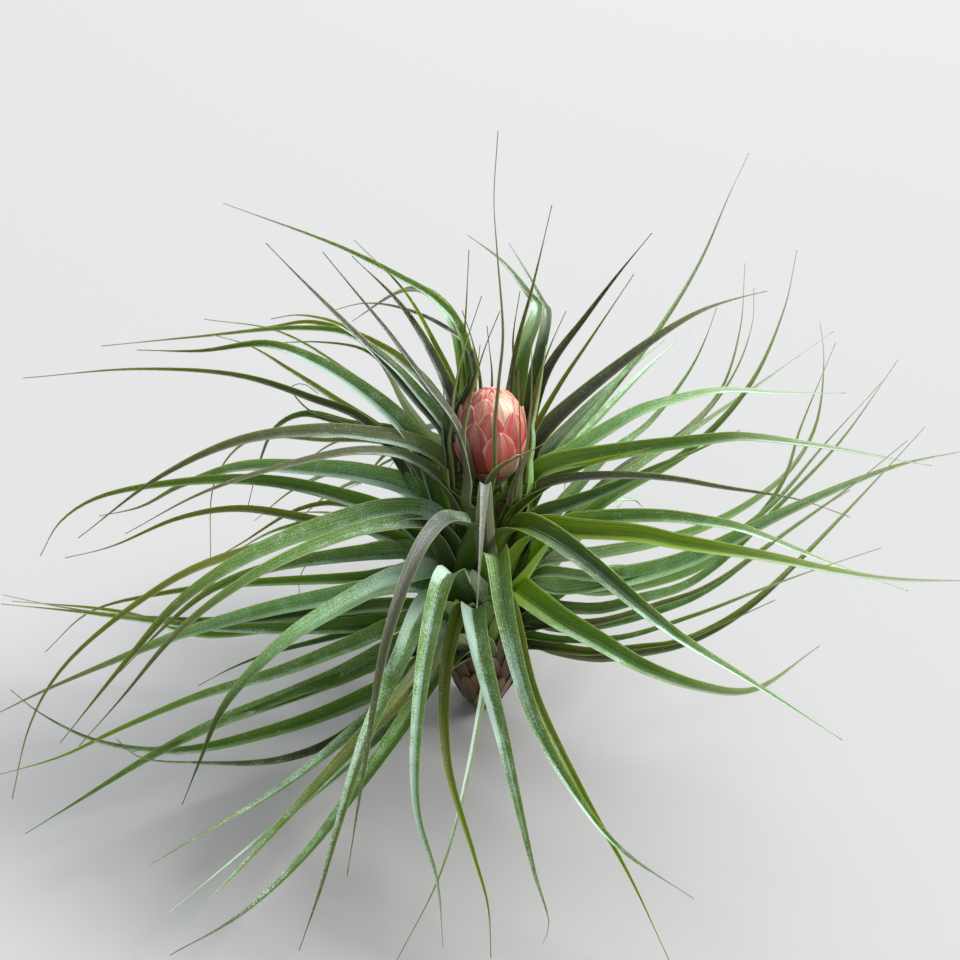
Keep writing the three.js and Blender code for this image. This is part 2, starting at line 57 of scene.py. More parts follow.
class Tone(Enum):
    """Leaf colours as display shares of red, green and blue, then the share of pale scales."""

    SILVER = (0.38, 0.53, 0.20, 1.00)
    # The next tone is partly pale scales and partly a painted highlight.
    MINT = (0.48, 0.67, 0.38, 1.15)
    GREY = (0.42, 0.45, 0.32, 0.70)
    LILAC = (0.43, 0.44, 0.42, 0.26)
    PURPLE = (0.36, 0.34, 0.29, 0.38)
    CHARCOAL = (0.27, 0.28, 0.25, 0.50)
    INK = (0.19, 0.18, 0.17, 0.22)
    # The next two tones: lime of the leaf feet, lightened past their own colour as a painted glow
    # of light shining through them.
    FRESH = (0.54, 0.69, 0.07, 0.04)
    LIME = (0.46, 0.60, 0.05, 0.08)
    GREEN = (0.31, 0.47, 0.07, 0.50)
    DEEP = (0.18, 0.30, 0.04, 0.34)
    OLIVE = (0.40, 0.44, 0.11, 0.40)
    DARK = (0.20, 0.24, 0.07, 0.25)
    PALE = (0.76, 0.84, 0.74, 1.20)
    TAN = (0.45, 0.41, 0.30, 0.35)


def to_linear(shares: Array) -> Array:
    """Turns display colour into light: the share over 1.055, lifted by 0.055, to the power 2.4."""
    return np.where(shares <= 0.04045, shares / 12.92, ((shares + 0.055) / 1.055) ** 2.4)


@dataclass(frozen=True)
class Leaf:
    """One leaf that can be told apart in the view from the front.

    Args:
        tones: Colour at the foot, the middle and the tip, partly the leaf's own and partly painted
            light.
        width: Widest measure across the blade, in millimetres.
        bearing: Where it points, in degrees: 0 right, 90 back, 180 left, 270 front.
        roll: Turn about its own length, in degrees.
        guides: Points along it, across and down in the view, some with a depth in millimetres.
    """

    tones: str
    width: float
    bearing: float
    roll: float
    guides: tuple[tuple[float, ...], ...]


# A leaf's tones are partly its own colour and partly painted light: lighter tones as painted
# highlight where it stood in the light, darker ones as painted shade where it stood in shade.
LEAVES: tuple[Leaf, ...] = (
    Leaf("green green grey", 3.9, 136, 0, ((462, 332), (436, 299), (400, 277), (340, 247),
        (223, 203))),
    Leaf("silver charcoal ink", 7.2, 170, 0, ((456, 452), (440, 426), (420, 403), (400, 380),
        (380, 358), (360, 338), (333, 311), (300, 278), (266, 243))),
    Leaf("grey charcoal ink", 5.4, 190, 0, ((473, 490, -8), (470, 470, -11), (465, 447, -11.5),
        (457, 426, -10.5), (448, 411, -8), (430, 388, -5), (410, 361, -2), (387, 330, 1),
        (355, 291, 4), (323, 252, 7))),
    Leaf("silver charcoal ink", 7, 150, 0, ((452, 400), (430, 350), (400, 304), (352, 256))),
    Leaf("lime lime olive", 3.6, 138, 0, ((456, 392), (433, 340), (405, 292), (354, 240))),
    Leaf("green green purple", 6.6, 118, 0, ((466, 380), (455, 325), (430, 294), (405, 289),
        (352, 321))),
    Leaf("grey charcoal ink", 3, 128, 0, ((470, 350), (446, 328), (405, 309), (365, 303),
        (330, 311))),
    Leaf("green green olive", 4, 160, 0, ((440, 426), (420, 402), (400, 379), (375, 352),
        (350, 334), (300, 328), (193, 337), (101, 346))),
    Leaf("deep silver olive", 7.4, 168, 0, ((455, 442), (440, 418), (420, 395), (400, 372),
        (380, 354), (360, 338), (340, 325), (320, 318), (295, 315), (271, 319))),
    Leaf("green olive olive", 5.4, 156, 0, ((456, 428), (440, 403), (425, 382), (410, 367),
        (395, 355), (380, 346), (355, 334), (310, 322), (271, 327), (210, 335))),
    Leaf("silver silver dark", 9.2, 176, -10, ((415, 440), (360, 388), (300, 354), (265, 344),
        (200, 351), (137, 350))),
    Leaf("green dark olive", 4.5, 172, 0, ((370, 425), (310, 398), (240, 376), (140, 369),
        (23, 378))),
    Leaf("green grey grey", 3.4, 148, 0, ((400, 418), (340, 367), (280, 332), (204, 319))),
    Leaf("green olive olive", 6, 166, 0, ((400, 448), (330, 396), (290, 370), (250, 346),
        (210, 334))),
    Leaf("deep dark dark", 3, 150, 0, ((440, 430), (420, 407), (400, 384), (380, 361), (362, 349),
        (320, 342), (255, 344))),
    Leaf("deep dark dark", 4, 166, 0, ((380, 436), (340, 420), (310, 411), (291, 388), (303, 384),
        (318, 394))),
    Leaf("deep deep dark", 7, 166, 0, ((410, 440), (350, 425), (305, 414), (275, 428), (258, 466),
        (248, 505))),
    Leaf("grey grey lilac", 3, 164, 0, ((400, 450), (320, 440), (250, 440), (215, 480),
        (210, 562))),
    Leaf("lime grey purple", 8.5, 187, 0, ((455, 474), (440, 457), (420, 446), (400, 440),
        (370, 435), (320, 431), (240, 441), (160, 477), (78, 538))),
    Leaf("deep grey purple", 5.6, 196, 0, ((450, 490), (410, 458), (360, 451), (280, 467),
        (200, 494), (125, 534))),
    Leaf("green mint grey", 10.4, 178, 0, ((420, 495), (360, 474), (300, 468), (240, 467),
        (180, 486), (140, 507), (99, 516))),
    Leaf("green green olive", 8, 181, 0, ((400, 520), (330, 494), (270, 482), (200, 481),
        (100, 497), (60, 522), (40, 556))),
    Leaf("green olive olive", 6, 186, 0, ((400, 540), (320, 522), (240, 509), (180, 518),
        (110, 547), (65, 558))),
    Leaf("deep olive tan", 4, 176, 0, ((400, 530), (340, 504), (300, 509), (240, 544),
        (200, 567))),
    Leaf("green olive olive", 5, 204, 0, ((420, 520), (340, 530), (250, 550), (180, 576),
        (85, 645), (50, 685), (28, 730), (12, 799))),
    Leaf("silver silver olive", 10.2, 207, 0, ((440, 518), (400, 511), (340, 522), (250, 556),
        (180, 602), (130, 657), (60, 743))),
    Leaf("dark green purple", 7.6, 219, 0, ((430, 527), (380, 526), (300, 552), (240, 584),
        (180, 630), (120, 700), (79, 746))),
    Leaf("mint silver olive", 8.6, 192, 0, ((430, 553), (390, 552), (330, 558), (270, 568),
        (215, 588), (170, 622), (120, 672))),
    Leaf("dark green olive", 5.5, 181, 0, ((420, 572), (360, 578), (240, 584), (160, 594),
        (90, 612), (45, 652))),
    Leaf("green silver silver", 3, 172, 0, ((400, 545), (340, 552), (308, 563), (299, 582),
        (300, 600))),
    Leaf("silver mint tan", 8.8, 197, 0, ((420, 586), (340, 596), (260, 612), (180, 635),
        (122, 658), (46, 690), (-20, 722))),
    Leaf("green deep grey", 6.2, 184, 0, ((400, 606), (320, 612), (230, 621), (130, 617),
        (60, 607), (3, 595))),
    Leaf("green green olive", 7.2, 190, 0, ((400, 622), (320, 628), (220, 628), (140, 620),
        (80, 612), (1, 604))),
    Leaf("deep green olive", 7, 175, 0, ((400, 618), (300, 624), (200, 634), (120, 612),
        (12, 601))),
    Leaf("silver mint dark", 10.4, 222, 0, ((440, 572), (400, 577), (340, 606), (280, 645),
        (225, 705), (200, 761), (182, 805))),
    Leaf("deep deep dark", 5, 188, 0, ((390, 622), (330, 638), (265, 655), (230, 669),
        (198, 686))),
    Leaf("silver silver lime", 7, 202, 0, ((420, 618), (350, 645), (280, 672), (200, 696),
        (120, 729), (60, 757), (-10, 777))),
    Leaf("green silver green", 9.5, 208, 0, ((420, 640), (340, 677), (280, 700), (220, 722),
        (150, 757), (80, 800), (25, 834))),
    Leaf("green green deep", 7, 208, 0, ((410, 650), (350, 675), (300, 692), (240, 716),
        (180, 742), (130, 752))),
    Leaf("silver green dark", 7.5, 204, 0, ((400, 680), (330, 712), (270, 732), (180, 751),
        (100, 742), (40, 713), (11, 690))),
    Leaf("deep dark dark", 5.5, 217, 0, ((400, 690), (340, 738), (280, 760), (200, 763),
        (140, 757), (117, 739))),
    Leaf("silver silver olive", 6.5, 228, 0, ((410, 680), (340, 742), (280, 788), (204, 833),
        (150, 865))),
    Leaf("pale olive silver", 8.4, 234, 0, ((448, 630), (420, 675), (355, 745), (300, 803),
        (240, 868), (185, 924))),
    Leaf("lime silver silver", 6, 232, 0, ((430, 680), (375, 738), (320, 788), (230, 863),
        (170, 912))),
    Leaf("deep green dark", 7, 240, 0, ((435, 675), (400, 728), (355, 790), (300, 860), (240, 915),
        (170, 955))),
    Leaf("mint silver olive", 8.8, 240, 0, ((430, 600, -24), (400, 660, -44), (365, 740, -62),
        (337, 830, -77), (320, 890, -85), (299, 951, -92))),
    Leaf("green lilac grey", 6.6, 232, 0, ((476, 524, -15), (462, 519, -21), (446, 518, -30),
        (432, 530, -38), (415, 558, -47), (387, 640, -62), (365, 765, -76), (347, 876, -84))),
    Leaf("deep silver silver", 8.2, 262, 0, ((447, 572, -28), (428, 640, -44), (415, 760, -65),
        (418, 815, -73), (437, 880, -83), (443, 948, -92))),
    Leaf("lime olive lime", 5.8, 255, 0, ((462, 605, -24), (446, 670, -42), (447, 760, -62),
        (474, 855, -80), (488, 905, -88), (491, 958, -94))),
    Leaf("lime pale lime", 3, 262, 0, ((487, 660, -26), (478, 722, -42), (457, 818, -66),
        (437, 882, -80), (396, 962, -94))),
    Leaf("green silver silver", 8.8, 268, 0, ((473, 607, -28), (478, 640, -40), (490, 690, -51),
        (503, 740, -62), (517, 800, -72), (535, 875, -84), (549, 926, -92), (541, 946, -95))),
    Leaf("lime silver silver", 8.4, 280, 14, ((497, 552, -24), (507, 620, -42), (535, 720, -60),
        (580, 800, -76), (620, 848, -86), (694, 899, -92))),
    Leaf("lime olive lime", 5.4, 282, 0, ((508, 600, -30), (534, 694, -52), (584, 795, -72),
        (629, 875, -84), (669, 960, -95))),
    Leaf("lilac lilac lilac", 6.4, 272, 0, ((485, 498, -24), (485, 486, -42), (481, 545, -62),
        (477, 608, -78))),
    Leaf("mint pale mint", 13, 264, 0, ((468, 570, -24), (470, 583, -33))),
    Leaf("lime green pale", 10.6, 320, 0, ((510, 586), (530, 599), (560, 620), (600, 643),
        (640, 666), (700, 687), (750, 691), (819, 646))),
    Leaf("lime deep mint", 9.9, 308, 0, ((500, 532), (520, 523), (540, 530), (560, 542),
        (600, 573), (640, 607), (680, 638), (750, 681), (842, 740))),
    Leaf("lime lime pale", 9.8, 334, 0, ((530, 530), (580, 531), (640, 535), (680, 543),
        (760, 556), (880, 578), (985, 581))),
    Leaf("fresh silver pale", 8, 345, 0, ((560, 527), (600, 519), (660, 516.5), (700, 520.5),
        (740, 528), (830, 563), (908, 591))),
    Leaf("fresh charcoal charcoal", 5.2, 346, 0, ((512, 504), (540, 486), (560, 480), (600, 476),
        (640, 476), (680, 480), (720, 487), (800, 500), (850, 517))),
    Leaf("lime green pale", 9, 358, 0, ((508, 494), (530, 475), (560, 463), (600, 455.5),
        (640, 449), (700, 441), (740, 437), (820, 446), (932, 466))),
    Leaf("lime mint pale", 8, 16, 0, ((530, 478), (565, 456), (600, 434), (640, 411), (680, 398.5),
        (720, 390.5), (790, 393), (846, 393))),
    Leaf("green mint pale", 10.6, 0, 0, ((520, 581), (560, 585), (600, 581), (640, 574.5),
        (680, 563), (720, 546), (770, 520), (830, 492), (900, 465), (975, 449))),
    Leaf("dark grey pale", 5.8, 347, 0, ((520, 640), (560, 651), (600, 657), (640, 652),
        (680, 644), (720, 626), (760, 598), (800, 560), (850, 508), (925, 427))),
    Leaf("deep mint pale", 5, 352, 0, ((520, 622), (560, 628), (600, 625), (640, 616), (690, 599),
        (720, 582), (745, 563), (790, 530), (850, 487), (908, 440))),
    Leaf("green silver pale", 3.2, 337, 0, ((560, 640), (620, 638), (690, 617), (720, 606),
        (760, 590), (820, 568), (881, 548))),
    Leaf("dark green pale", 6, 15, 0, ((530, 566), (600, 553, 12), (650, 544, 18), (700, 529, 25),
        (750, 503, 36), (790, 470, 46), (816, 425, 57), (824, 358, 68), (820, 322, 72))),
    Leaf("dark green pale", 5.6, 8, 0, ((530, 588), (600, 591, 6), (650, 583, 11), (690, 571, 16),
        (720, 555, 22), (755, 522, 30), (785, 478, 38), (800, 430, 48), (836, 342, 58))),
    Leaf("deep green pale", 5, 3, 0, ((530, 575), (600, 577, 0), (660, 566, 4), (715, 546, 9),
        (770, 507, 18), (826, 443, 32), (881, 383, 42))),
    Leaf("dark silver pale", 5, 355, 0, ((530, 605), (560, 608, -6), (600, 609, -5),
        (640, 599, -3), (680, 588, 0), (705, 574, 3), (735, 550, 7), (780, 505, 12),
        (840, 442, 20), (898, 360, 32))),
    Leaf("deep grey mint", 3.8, 343, 0, ((530, 628), (600, 622), (660, 604), (700, 590),
        (746, 562), (815, 512), (850, 490))),
    Leaf("dark olive green", 4.4, 336, 0, ((530, 645), (590, 652), (640, 647), (680, 641),
        (720, 625), (775, 600))),
    Leaf("olive charcoal grey", 8.4, 24, 0, ((534, 447), (550, 425), (580, 397), (620, 364.5),
        (660, 335), (700, 311.5), (735, 299), (767, 291))),
    Leaf("olive charcoal ink", 6.4, 32, 0, ((535, 405), (550, 366), (585, 318), (620, 272),
        (652, 233))),
    Leaf("lime olive olive", 4, 12, 0, ((530, 440), (560, 385), (590, 340), (634, 274))),
    Leaf("green silver pale", 4.8, 50, 0, ((560, 450), (600, 403), (655, 335), (700, 262),
        (730, 193), (749, 153))),
    Leaf("olive green mint", 6.4, 48, 0, ((600, 462), (650, 422), (690, 370), (705, 340),
        (717, 307))),
    Leaf("green deep pale", 4.4, 44, 0, ((620, 470), (680, 434), (722, 388), (740, 330),
        (745, 263))),
    Leaf("green olive pale", 4, 40, 0, ((620, 475), (695, 425), (735, 372), (752, 325),
        (754, 288))),
    Leaf("green green pale", 5.6, 24, 0, ((600, 505), (690, 450), (750, 385), (784, 310),
        (797, 250))),
    Leaf("green silver pale", 4.5, 36, 0, ((620, 480), (700, 425), (765, 380), (834, 331))),
    Leaf("mint green grey", 6.8, 48, 0, ((517, 395, 10), (524, 350, 16), (538, 309, 30),
        (527, 292, 50), (500, 259, 80), (468, 235, 110))),
    Leaf("green deep grey", 5.8, 38, 0, ((528, 405, 9), (541, 350, 15), (547, 313, 28),
        (541, 300, 40), (524, 268, 66), (509, 243, 92))),
    Leaf("green deep mint", 7, 50, 0, ((545, 455), (575, 420), (600, 395), (640, 360),
        (665, 340))),
    Leaf("lime green mint", 6.4, 58, 0, ((550, 462), (590, 425), (620, 395), (650, 365),
        (690, 330))),
    Leaf("deep deep green", 7, 150, 0, ((456, 452), (445, 432), (436, 414), (424, 397),
        (405, 375))),
    Leaf("deep pale pale", 9.2, 160, -28, ((454, 472), (440, 454), (428, 438), (415, 419),
        (402, 399), (390, 377), (378, 360), (366, 347))),
    Leaf("deep deep silver", 8, 8, 0, ((535, 519), (570, 504), (600, 493), (630, 480), (660, 466),
        (700, 449), (740, 430))),
    Leaf("fresh fresh lime", 9.6, 352, 0, ((508, 518), (530, 496), (550, 482), (575, 469),
        (610, 458), (650, 448))),
    Leaf("olive purple olive", 1.5, 275, 0, ((494, 475, -13), (495, 425, -13.5), (499, 380, -13),
        (503, 335, -11), (497, 250, -6), (494, 200, -2), (498, 131, 6))),
    Leaf("deep charcoal charcoal", 3, 60, 0, ((510, 385, 11), (517, 345, 12), (533, 285, 12),
        (552, 205, 12))),
    Leaf("deep dark charcoal", 2.5, 150, 0, ((457, 400, 6), (463, 350, 6), (466, 310, 6),
        (469, 250, 4))),
    Leaf("olive grey silver", 2.5, 190, 0, ((453, 420, -2), (458, 375, -2), (468, 338, -3),
        (482, 296, -4))),
    Leaf("olive purple charcoal", 2.7, 235, 0, ((463, 440, -12), (473, 388, -13), (485, 348, -12),
        (500, 311, -10))),
    Leaf("lime olive ink", 2.7, 78, 0, ((515, 385, 12), (513, 340, 13), (520, 291, 13))),
    Leaf("green olive tan", 3.4, 28, 0, ((530, 420, 6), (540, 375, 8), (552, 342, 9),
        (566, 311, 10))),
    Leaf("purple purple purple", 2, 308, 0, ((519, 468, -11), (520, 435, -11.5), (519, 402, -12),
        (518, 372, -11))),
    Leaf("green purple purple", 2.3, 330, 0, ((523, 465, -8), (528, 430, -7), (531, 400, -6),
        (531, 335, -5))),
    Leaf("lime mint mint", 3.6, 345, 0, ((522, 475, -3), (527, 450, -3), (531, 430, -2),
        (536, 408, -1), (541, 380, 0), (546, 345, 1))),
    Leaf("purple purple charcoal", 2.3, 170, 0, ((449, 440, 3), (445, 409, 4), (443, 373, 5))),
    Leaf("purple purple ink", 2.3, 100, 0, ((492, 380, 13), (489, 345, 14), (487, 326, 14))),
    Leaf("green dark dark", 2.3, 120, 0, ((476, 390, 12), (478, 365, 13), (480, 345, 13))),
    Leaf("green deep purple", 7.6, 300, 0, ((488, 500, -13), (490, 482, -15), (500, 466, -18),
        (515, 457, -20), (530, 451, -22), (546, 442, -24))),
    Leaf("green olive dark", 3, 105, 0, ((480, 380, 13), (472, 340, 16), (462, 310, 18))),
)

# One bract each, from the lowest: bearing, share of the bud's height at foot and tip, width,
# warmth_and_light of the colour (0 maroon, 1 cream): partly the bract's own colour and partly
# painted light, with painted shade toward maroon on the left and painted highlight toward cream
# on the right.
BRACTS: tuple[tuple[float, float, float, float, float], ...] = (
    (312, 0.02, 0.44, 11.4, 0.80), (171, 0.02, 0.40, 11.0, 0.25), (34, 0.02, 0.40, 11.0, 0.40),
    (262, 0.02, 0.26, 11.0, 0.22), (118, 0.03, 0.46, 11.0, 0.30), (345, 0.04, 0.56, 11.0, 0.52),
    (206, 0.05, 0.58, 11.2, 0.06), (75, 0.05, 0.50, 11.0, 0.40), (240, 0.06, 0.76, 11.4, 0.14),
    (283, 0.10, 0.69, 11.4, 0.53), (150, 0.12, 0.62, 11.0, 0.30), (55, 0.16, 0.64, 11.0, 0.45),
    (20, 0.22, 0.74, 11.0, 0.50), (316, 0.24, 0.82, 11.4, 0.46), (100, 0.26, 0.74, 11.0, 0.40),
    (268, 0.28, 0.85, 11.4, 0.42), (216, 0.30, 0.87, 11.2, 0.06), (178, 0.30, 0.80, 11.0, 0.15),
    (350, 0.34, 0.90, 11.0, 0.66), (135, 0.36, 0.84, 10.6, 0.40), (60, 0.40, 0.86, 10.6, 0.45),
    (294, 0.46, 0.965, 10.8, 0.84), (250, 0.50, 0.95, 10.4, 0.64), (30, 0.52, 0.94, 9.8, 0.60),
    (90, 0.54, 0.94, 9.8, 0.50), (160, 0.56, 0.95, 9.6, 0.40), (330, 0.60, 0.98, 9.2, 0.74),
    (212, 0.62, 0.98, 9.0, 0.34), (120, 0.70, 0.98, 7.8, 0.50), (60, 0.74, 0.985, 7.4, 0.60),
    (272, 0.76, 0.99, 6.6, 0.66), (180, 0.78, 0.99, 6.0, 0.45), (5, 0.80, 0.99, 5.6, 0.70),
    (308, 0.82, 1.00, 5.2, 0.80), (70, 0.86, 1.00, 4.6, 0.65), (225, 0.86, 1.00, 4.6, 0.60),
)


def around(radius: float, bearing: float, height: float) -> Array:
    """A point at a radius and height, on a bearing in radians."""
    return np.array([radius * math.cos(bearing), radius * math.sin(bearing), height])


def smooth_step(low: float, high: float, x: Array) -> Array:
    """Rises from 0 at low to 1 at high as 3x squared less 2x cubed."""
    share = np.clip((x - low) / (high - low), 0.0, 1.0)
    return share * share * (3.0 - 2.0 * share)


def unit(vectors: Array) -> Array:
    """The same directions with length 1."""
    return vectors / np.linalg.norm(vectors, axis=-1, keepdims=True)


def layers(*parts: Array) -> Array:
    """Arrays of fitting shapes, spread to one shape and stacked along a new last axis."""
    return np.stack(np.broadcast_arrays(*parts), axis=-1)


def ring_places(upper: int, lower: int) -> tuple[Array, Array]:
    """Places round a flat ring, closer together at its edges.

    Args:
        upper: How many lie on the upper side, edges included.
        lower: How many lie on the underside.

    Returns:
        Their shares across, from -1 to 1 and back, and 1 for an upper place, 0 for a lower one.
    """
    over = np.sin(np.linspace(-math.pi / 2, math.pi / 2, upper))
    under = np.sin(np.linspace(math.pi / 2, -math.pi / 2, lower + 2))[1:-1]
    above = np.concatenate([np.ones(upper), np.zeros(lower)])
    return np.concatenate([over, under]), above


class Draws:
    """Seeded even draws between 0 and 1, by the rule: FACTOR times the last, modulo PRIME."""

    FACTOR = 16807
    PRIME = 2**31 - 1

    def __init__(self, seed: int) -> None:
        """Starts at a seed."""
        self.state = seed

    def next(self) -> float:
        """The next draw."""
        self.state = (self.state * self.FACTOR) % self.PRIME
        return self.state / self.PRIME

    def spread(self, low: float, extent: float) -> float:
        """The next draw, from low to low plus the extent."""
        return low + extent * self.next()


@dataclass(frozen=True)
class PictureView:
    """The view in which the guide points are read: from the front and 30 degrees above.

    Args:
        eye: Where it is seen from, in millimetres.
        pitch: How far the view looks down, in degrees.
        focal_px: Focal length in picture points.
        centre_px: Middle of the picture, across as well as down.
    """

    eye: Triple = (-0.9, -242.6, 221.5)
    pitch: float = 30.0
    focal_px: float = 993.0
    centre_px: float = 480.0

    def ray(self, u: float, v: float) -> Array:
        """Direction of the sight line through a picture point.

        Args:
            u: The point's place across.
            v: Its place down.

        Returns:
            The direction, with a length of 1 along the middle of the view.
        """
        a = (u - self.centre_px) / self.focal_px
        b = (v - self.centre_px) / self.focal_px
        down = math.radians(self.pitch)
        return np.array(
            [a, math.cos(down) - b * math.sin(down), -math.sin(down) - b * math.cos(down)]
        )

    def point(self, guide: tuple[float, ...], bearing: float) -> Array:
        """Where a guide point is.

        Args:
            guide: Across and down in the picture and, where it has one, the depth along +Y.
            bearing: Bearing of the upright plane that holds a point without a depth.

        Returns:
            The point in millimetres.
        """
        eye, ray = np.array(self.eye), self.ray(guide[0], guide[1])
        if len(guide) > 2:
            return eye + ray * (guide[2] - eye[1]) / ray[1]
        side = np.array([math.sin(bearing), -math.cos(bearing), 0.0])
        return eye - ray * (eye @ side) / (ray @ side)


VIEW = PictureView()


def even_curve(points: Array, count: int, fine: int = 240) -> Array:
    """Centripetal Catmull-Rom curve through points, cut into equal lengths.

    Each span is the cubic whose end slopes come from the neighbours, weighted by the square
    roots of the distances between the points.

    Args:
        points: Points to pass through.
        count: How many equal lengths.
        fine: Steps of the inner, finer curve that lengths are measured on.

    Returns:
        count + 1 points.
    """
    ends = np.vstack([2 * points[0] - points[1], points, 2 * points[-1] - points[-2]])
    t = np.linspace(0.0, len(points) - 1.0, fine + 1)
    span = np.minimum(t.astype(int), len(points) - 2)
    w = (t - span)[:, None]
    p0, p1, p2, p3 = (ends[span + k] for k in range(4))
    d0, d1, d2 = (
        np.maximum(np.sqrt(np.linalg.norm(b - a, axis=1, keepdims=True)), 1e-4)
        for a, b in ((p0, p1), (p1, p2), (p2, p3))
    )
    m1 = ((p1 - p0) / d0 - (p2 - p0) / (d0 + d1) + (p2 - p1) / d1) * d1
    m2 = ((p2 - p1) / d1 - (p3 - p1) / (d1 + d2) + (p3 - p2) / d2) * d1
    curve = (
        p1 + m1 * w + (3 * (p2 - p1) - 2 * m1 - m2) * w**2
        + (2 * (p1 - p2) + m1 + m2) * w**3
    )
    steps = np.linalg.norm(np.diff(curve, axis=0), axis=1)
    length = np.concatenate([[0.0], np.cumsum(steps)])
    wanted = np.linspace(0.0, length[-1], count + 1)
    return np.stack([np.interp(wanted, length, curve[:, k]) for k in range(3)], axis=1)


@dataclass(frozen=True)
class Egg:
    """The egg shape of the bud, in millimetres.

    Args:
        x: Where its upright middle line crosses the X axis.
        z: Height of its middle.
        radius: Radius at the middle.
        half: Half its height.
        fuller: How much wider than a ball it is at the foot, as a share.
    """

    x: float = 2.2
    z: float = 95.6
    radius: float = 9.2
    half: float = 13.8
    fuller: float = 0.07

    def radius_at(self, share: Array) -> Array:
        """Radius at a share of the height: a circle's half chord, a little fuller below."""
        up = 2.0 * share - 1.0
        return self.radius * np.sqrt(np.maximum(0.0, 1.0 - up * up)) * (1.0 - self.fuller * up)

    def point(self, share: Array, bearing: Array, out: Array) -> Array:
        """Points over the egg, moved out along the normal of a ball.

        Args:
            share: Shares of the height.
            bearing: Bearings in radians.
            out: How far the points stand off the egg.

        Returns:
            The points, in the shape that the three spread to.
        """
        up = 2.0 * share - 1.0
        radius = self.radius_at(share) + out * np.sqrt(np.maximum(0.0, 1.0 - up * up))
        height = self.z + self.half * up + out * up
        return layers(self.x + radius * np.cos(bearing), radius * np.sin(bearing), height)


EGG = Egg()


@dataclass
class Skin:
    """A closed skin: rings of points, one after another, and a value for each point.

    Args:
        points: Rings by places round a ring by 3, in millimetres.
        tone: The same, with the colour as light.
        place: The same, with across (-1 to 1), length along and side (1 upper, 0 lower).
        scales: Rings by places, the share of pale scales.
    """

    points: Array
    tone: Array
    place: Array
    scales: Array

    def outward(self) -> "Skin":
        """Makes the faces point out: the rings are turned where the volume comes out negative.

        Returns:
            This skin or a turned one.
        """
        p = self.points
        a, d = p[:-1], p[1:]
        b, c = np.roll(a, -1, axis=1), np.roll(d, -1, axis=1)
        volume = (a * (np.cross(b, c) + np.cross(c, d))).sum()
        if volume >= 0.0:
            return self
        return Skin(p[:, ::-1], self.tone[:, ::-1], self.place[:, ::-1], self.scales[:, ::-1])


def corners_of(rings: int, around_count: int, first: int, ends: tuple[int, int]) -> Array:
    """Corner numbers of a skin's faces: quads between the rings, then a fan at each end.

    Args:
        rings: How many rings.
        around_count: Places round each ring.
        first: Number of the first point.
        ends: Numbers of the two end points.

    Returns:
        Rows of four, where a fan's triangle has -1 last.
    """
    k = np.arange(rings - 1)[:, None] * around_count + first
    i = np.arange(around_count)[None, :]
    j = (i + 1) % around_count
    quads = np.stack([k + i, k + j, k + around_count + j, k + around_count + i], axis=-1)
    i, j = i[0], j[0]
    last = first + (rings - 1) * around_count
    start_fan = layers(first + j, first + i, ends[0], -1)
    end_fan = layers(last + i, last + j, ends[1], -1)
    return np.vstack([quads.reshape(-1, 4), start_fan, end_fan])


def map_of(rings: int, around_count: int, column: int, columns: int) -> Array:
    """Places of a skin's corners on the bake map: one upright column to each skin.

    Args:
        rings: How many rings.
        around_count: Places round each ring.
        column: Which column.
        columns: How many columns.

    Returns:
        Faces by four by 2, in the order of corners_of.
    """
    side_gap, low, tall, tip_gap = 0.06, 0.03, 0.94, 0.008
    left, width = (column + side_gap) / columns, (1.0 - 2.0 * side_gap) / columns
    k = np.arange(rings - 1)[:, None] / (rings - 1)
    i = np.arange(around_count)[None, :] / around_count
    step, rise = 1.0 / around_count, 1.0 / (rings - 1)
    us = np.broadcast_to(layers(i, i + step, i + step, i), (rings - 1, around_count, 4))
    vs = layers(k + 0 * i, k, k + rise, k + rise)
    quads = np.stack([left + width * us, low + tall * vs], axis=-1).reshape(-1, 4, 2)
    i = i[0]
    fans = []
    for pair, edge, tip in (
        ((i + step, i), low, tip_gap), ((i, i + step), low + tall, 1.0 - tip_gap)
    ):
        us, vs = layers(*pair, i + step / 2, i), layers(edge, edge, tip, 0 * i)
        fans.append(np.stack([left + width * us, vs], axis=-1))
    return np.vstack([quads, *fans])


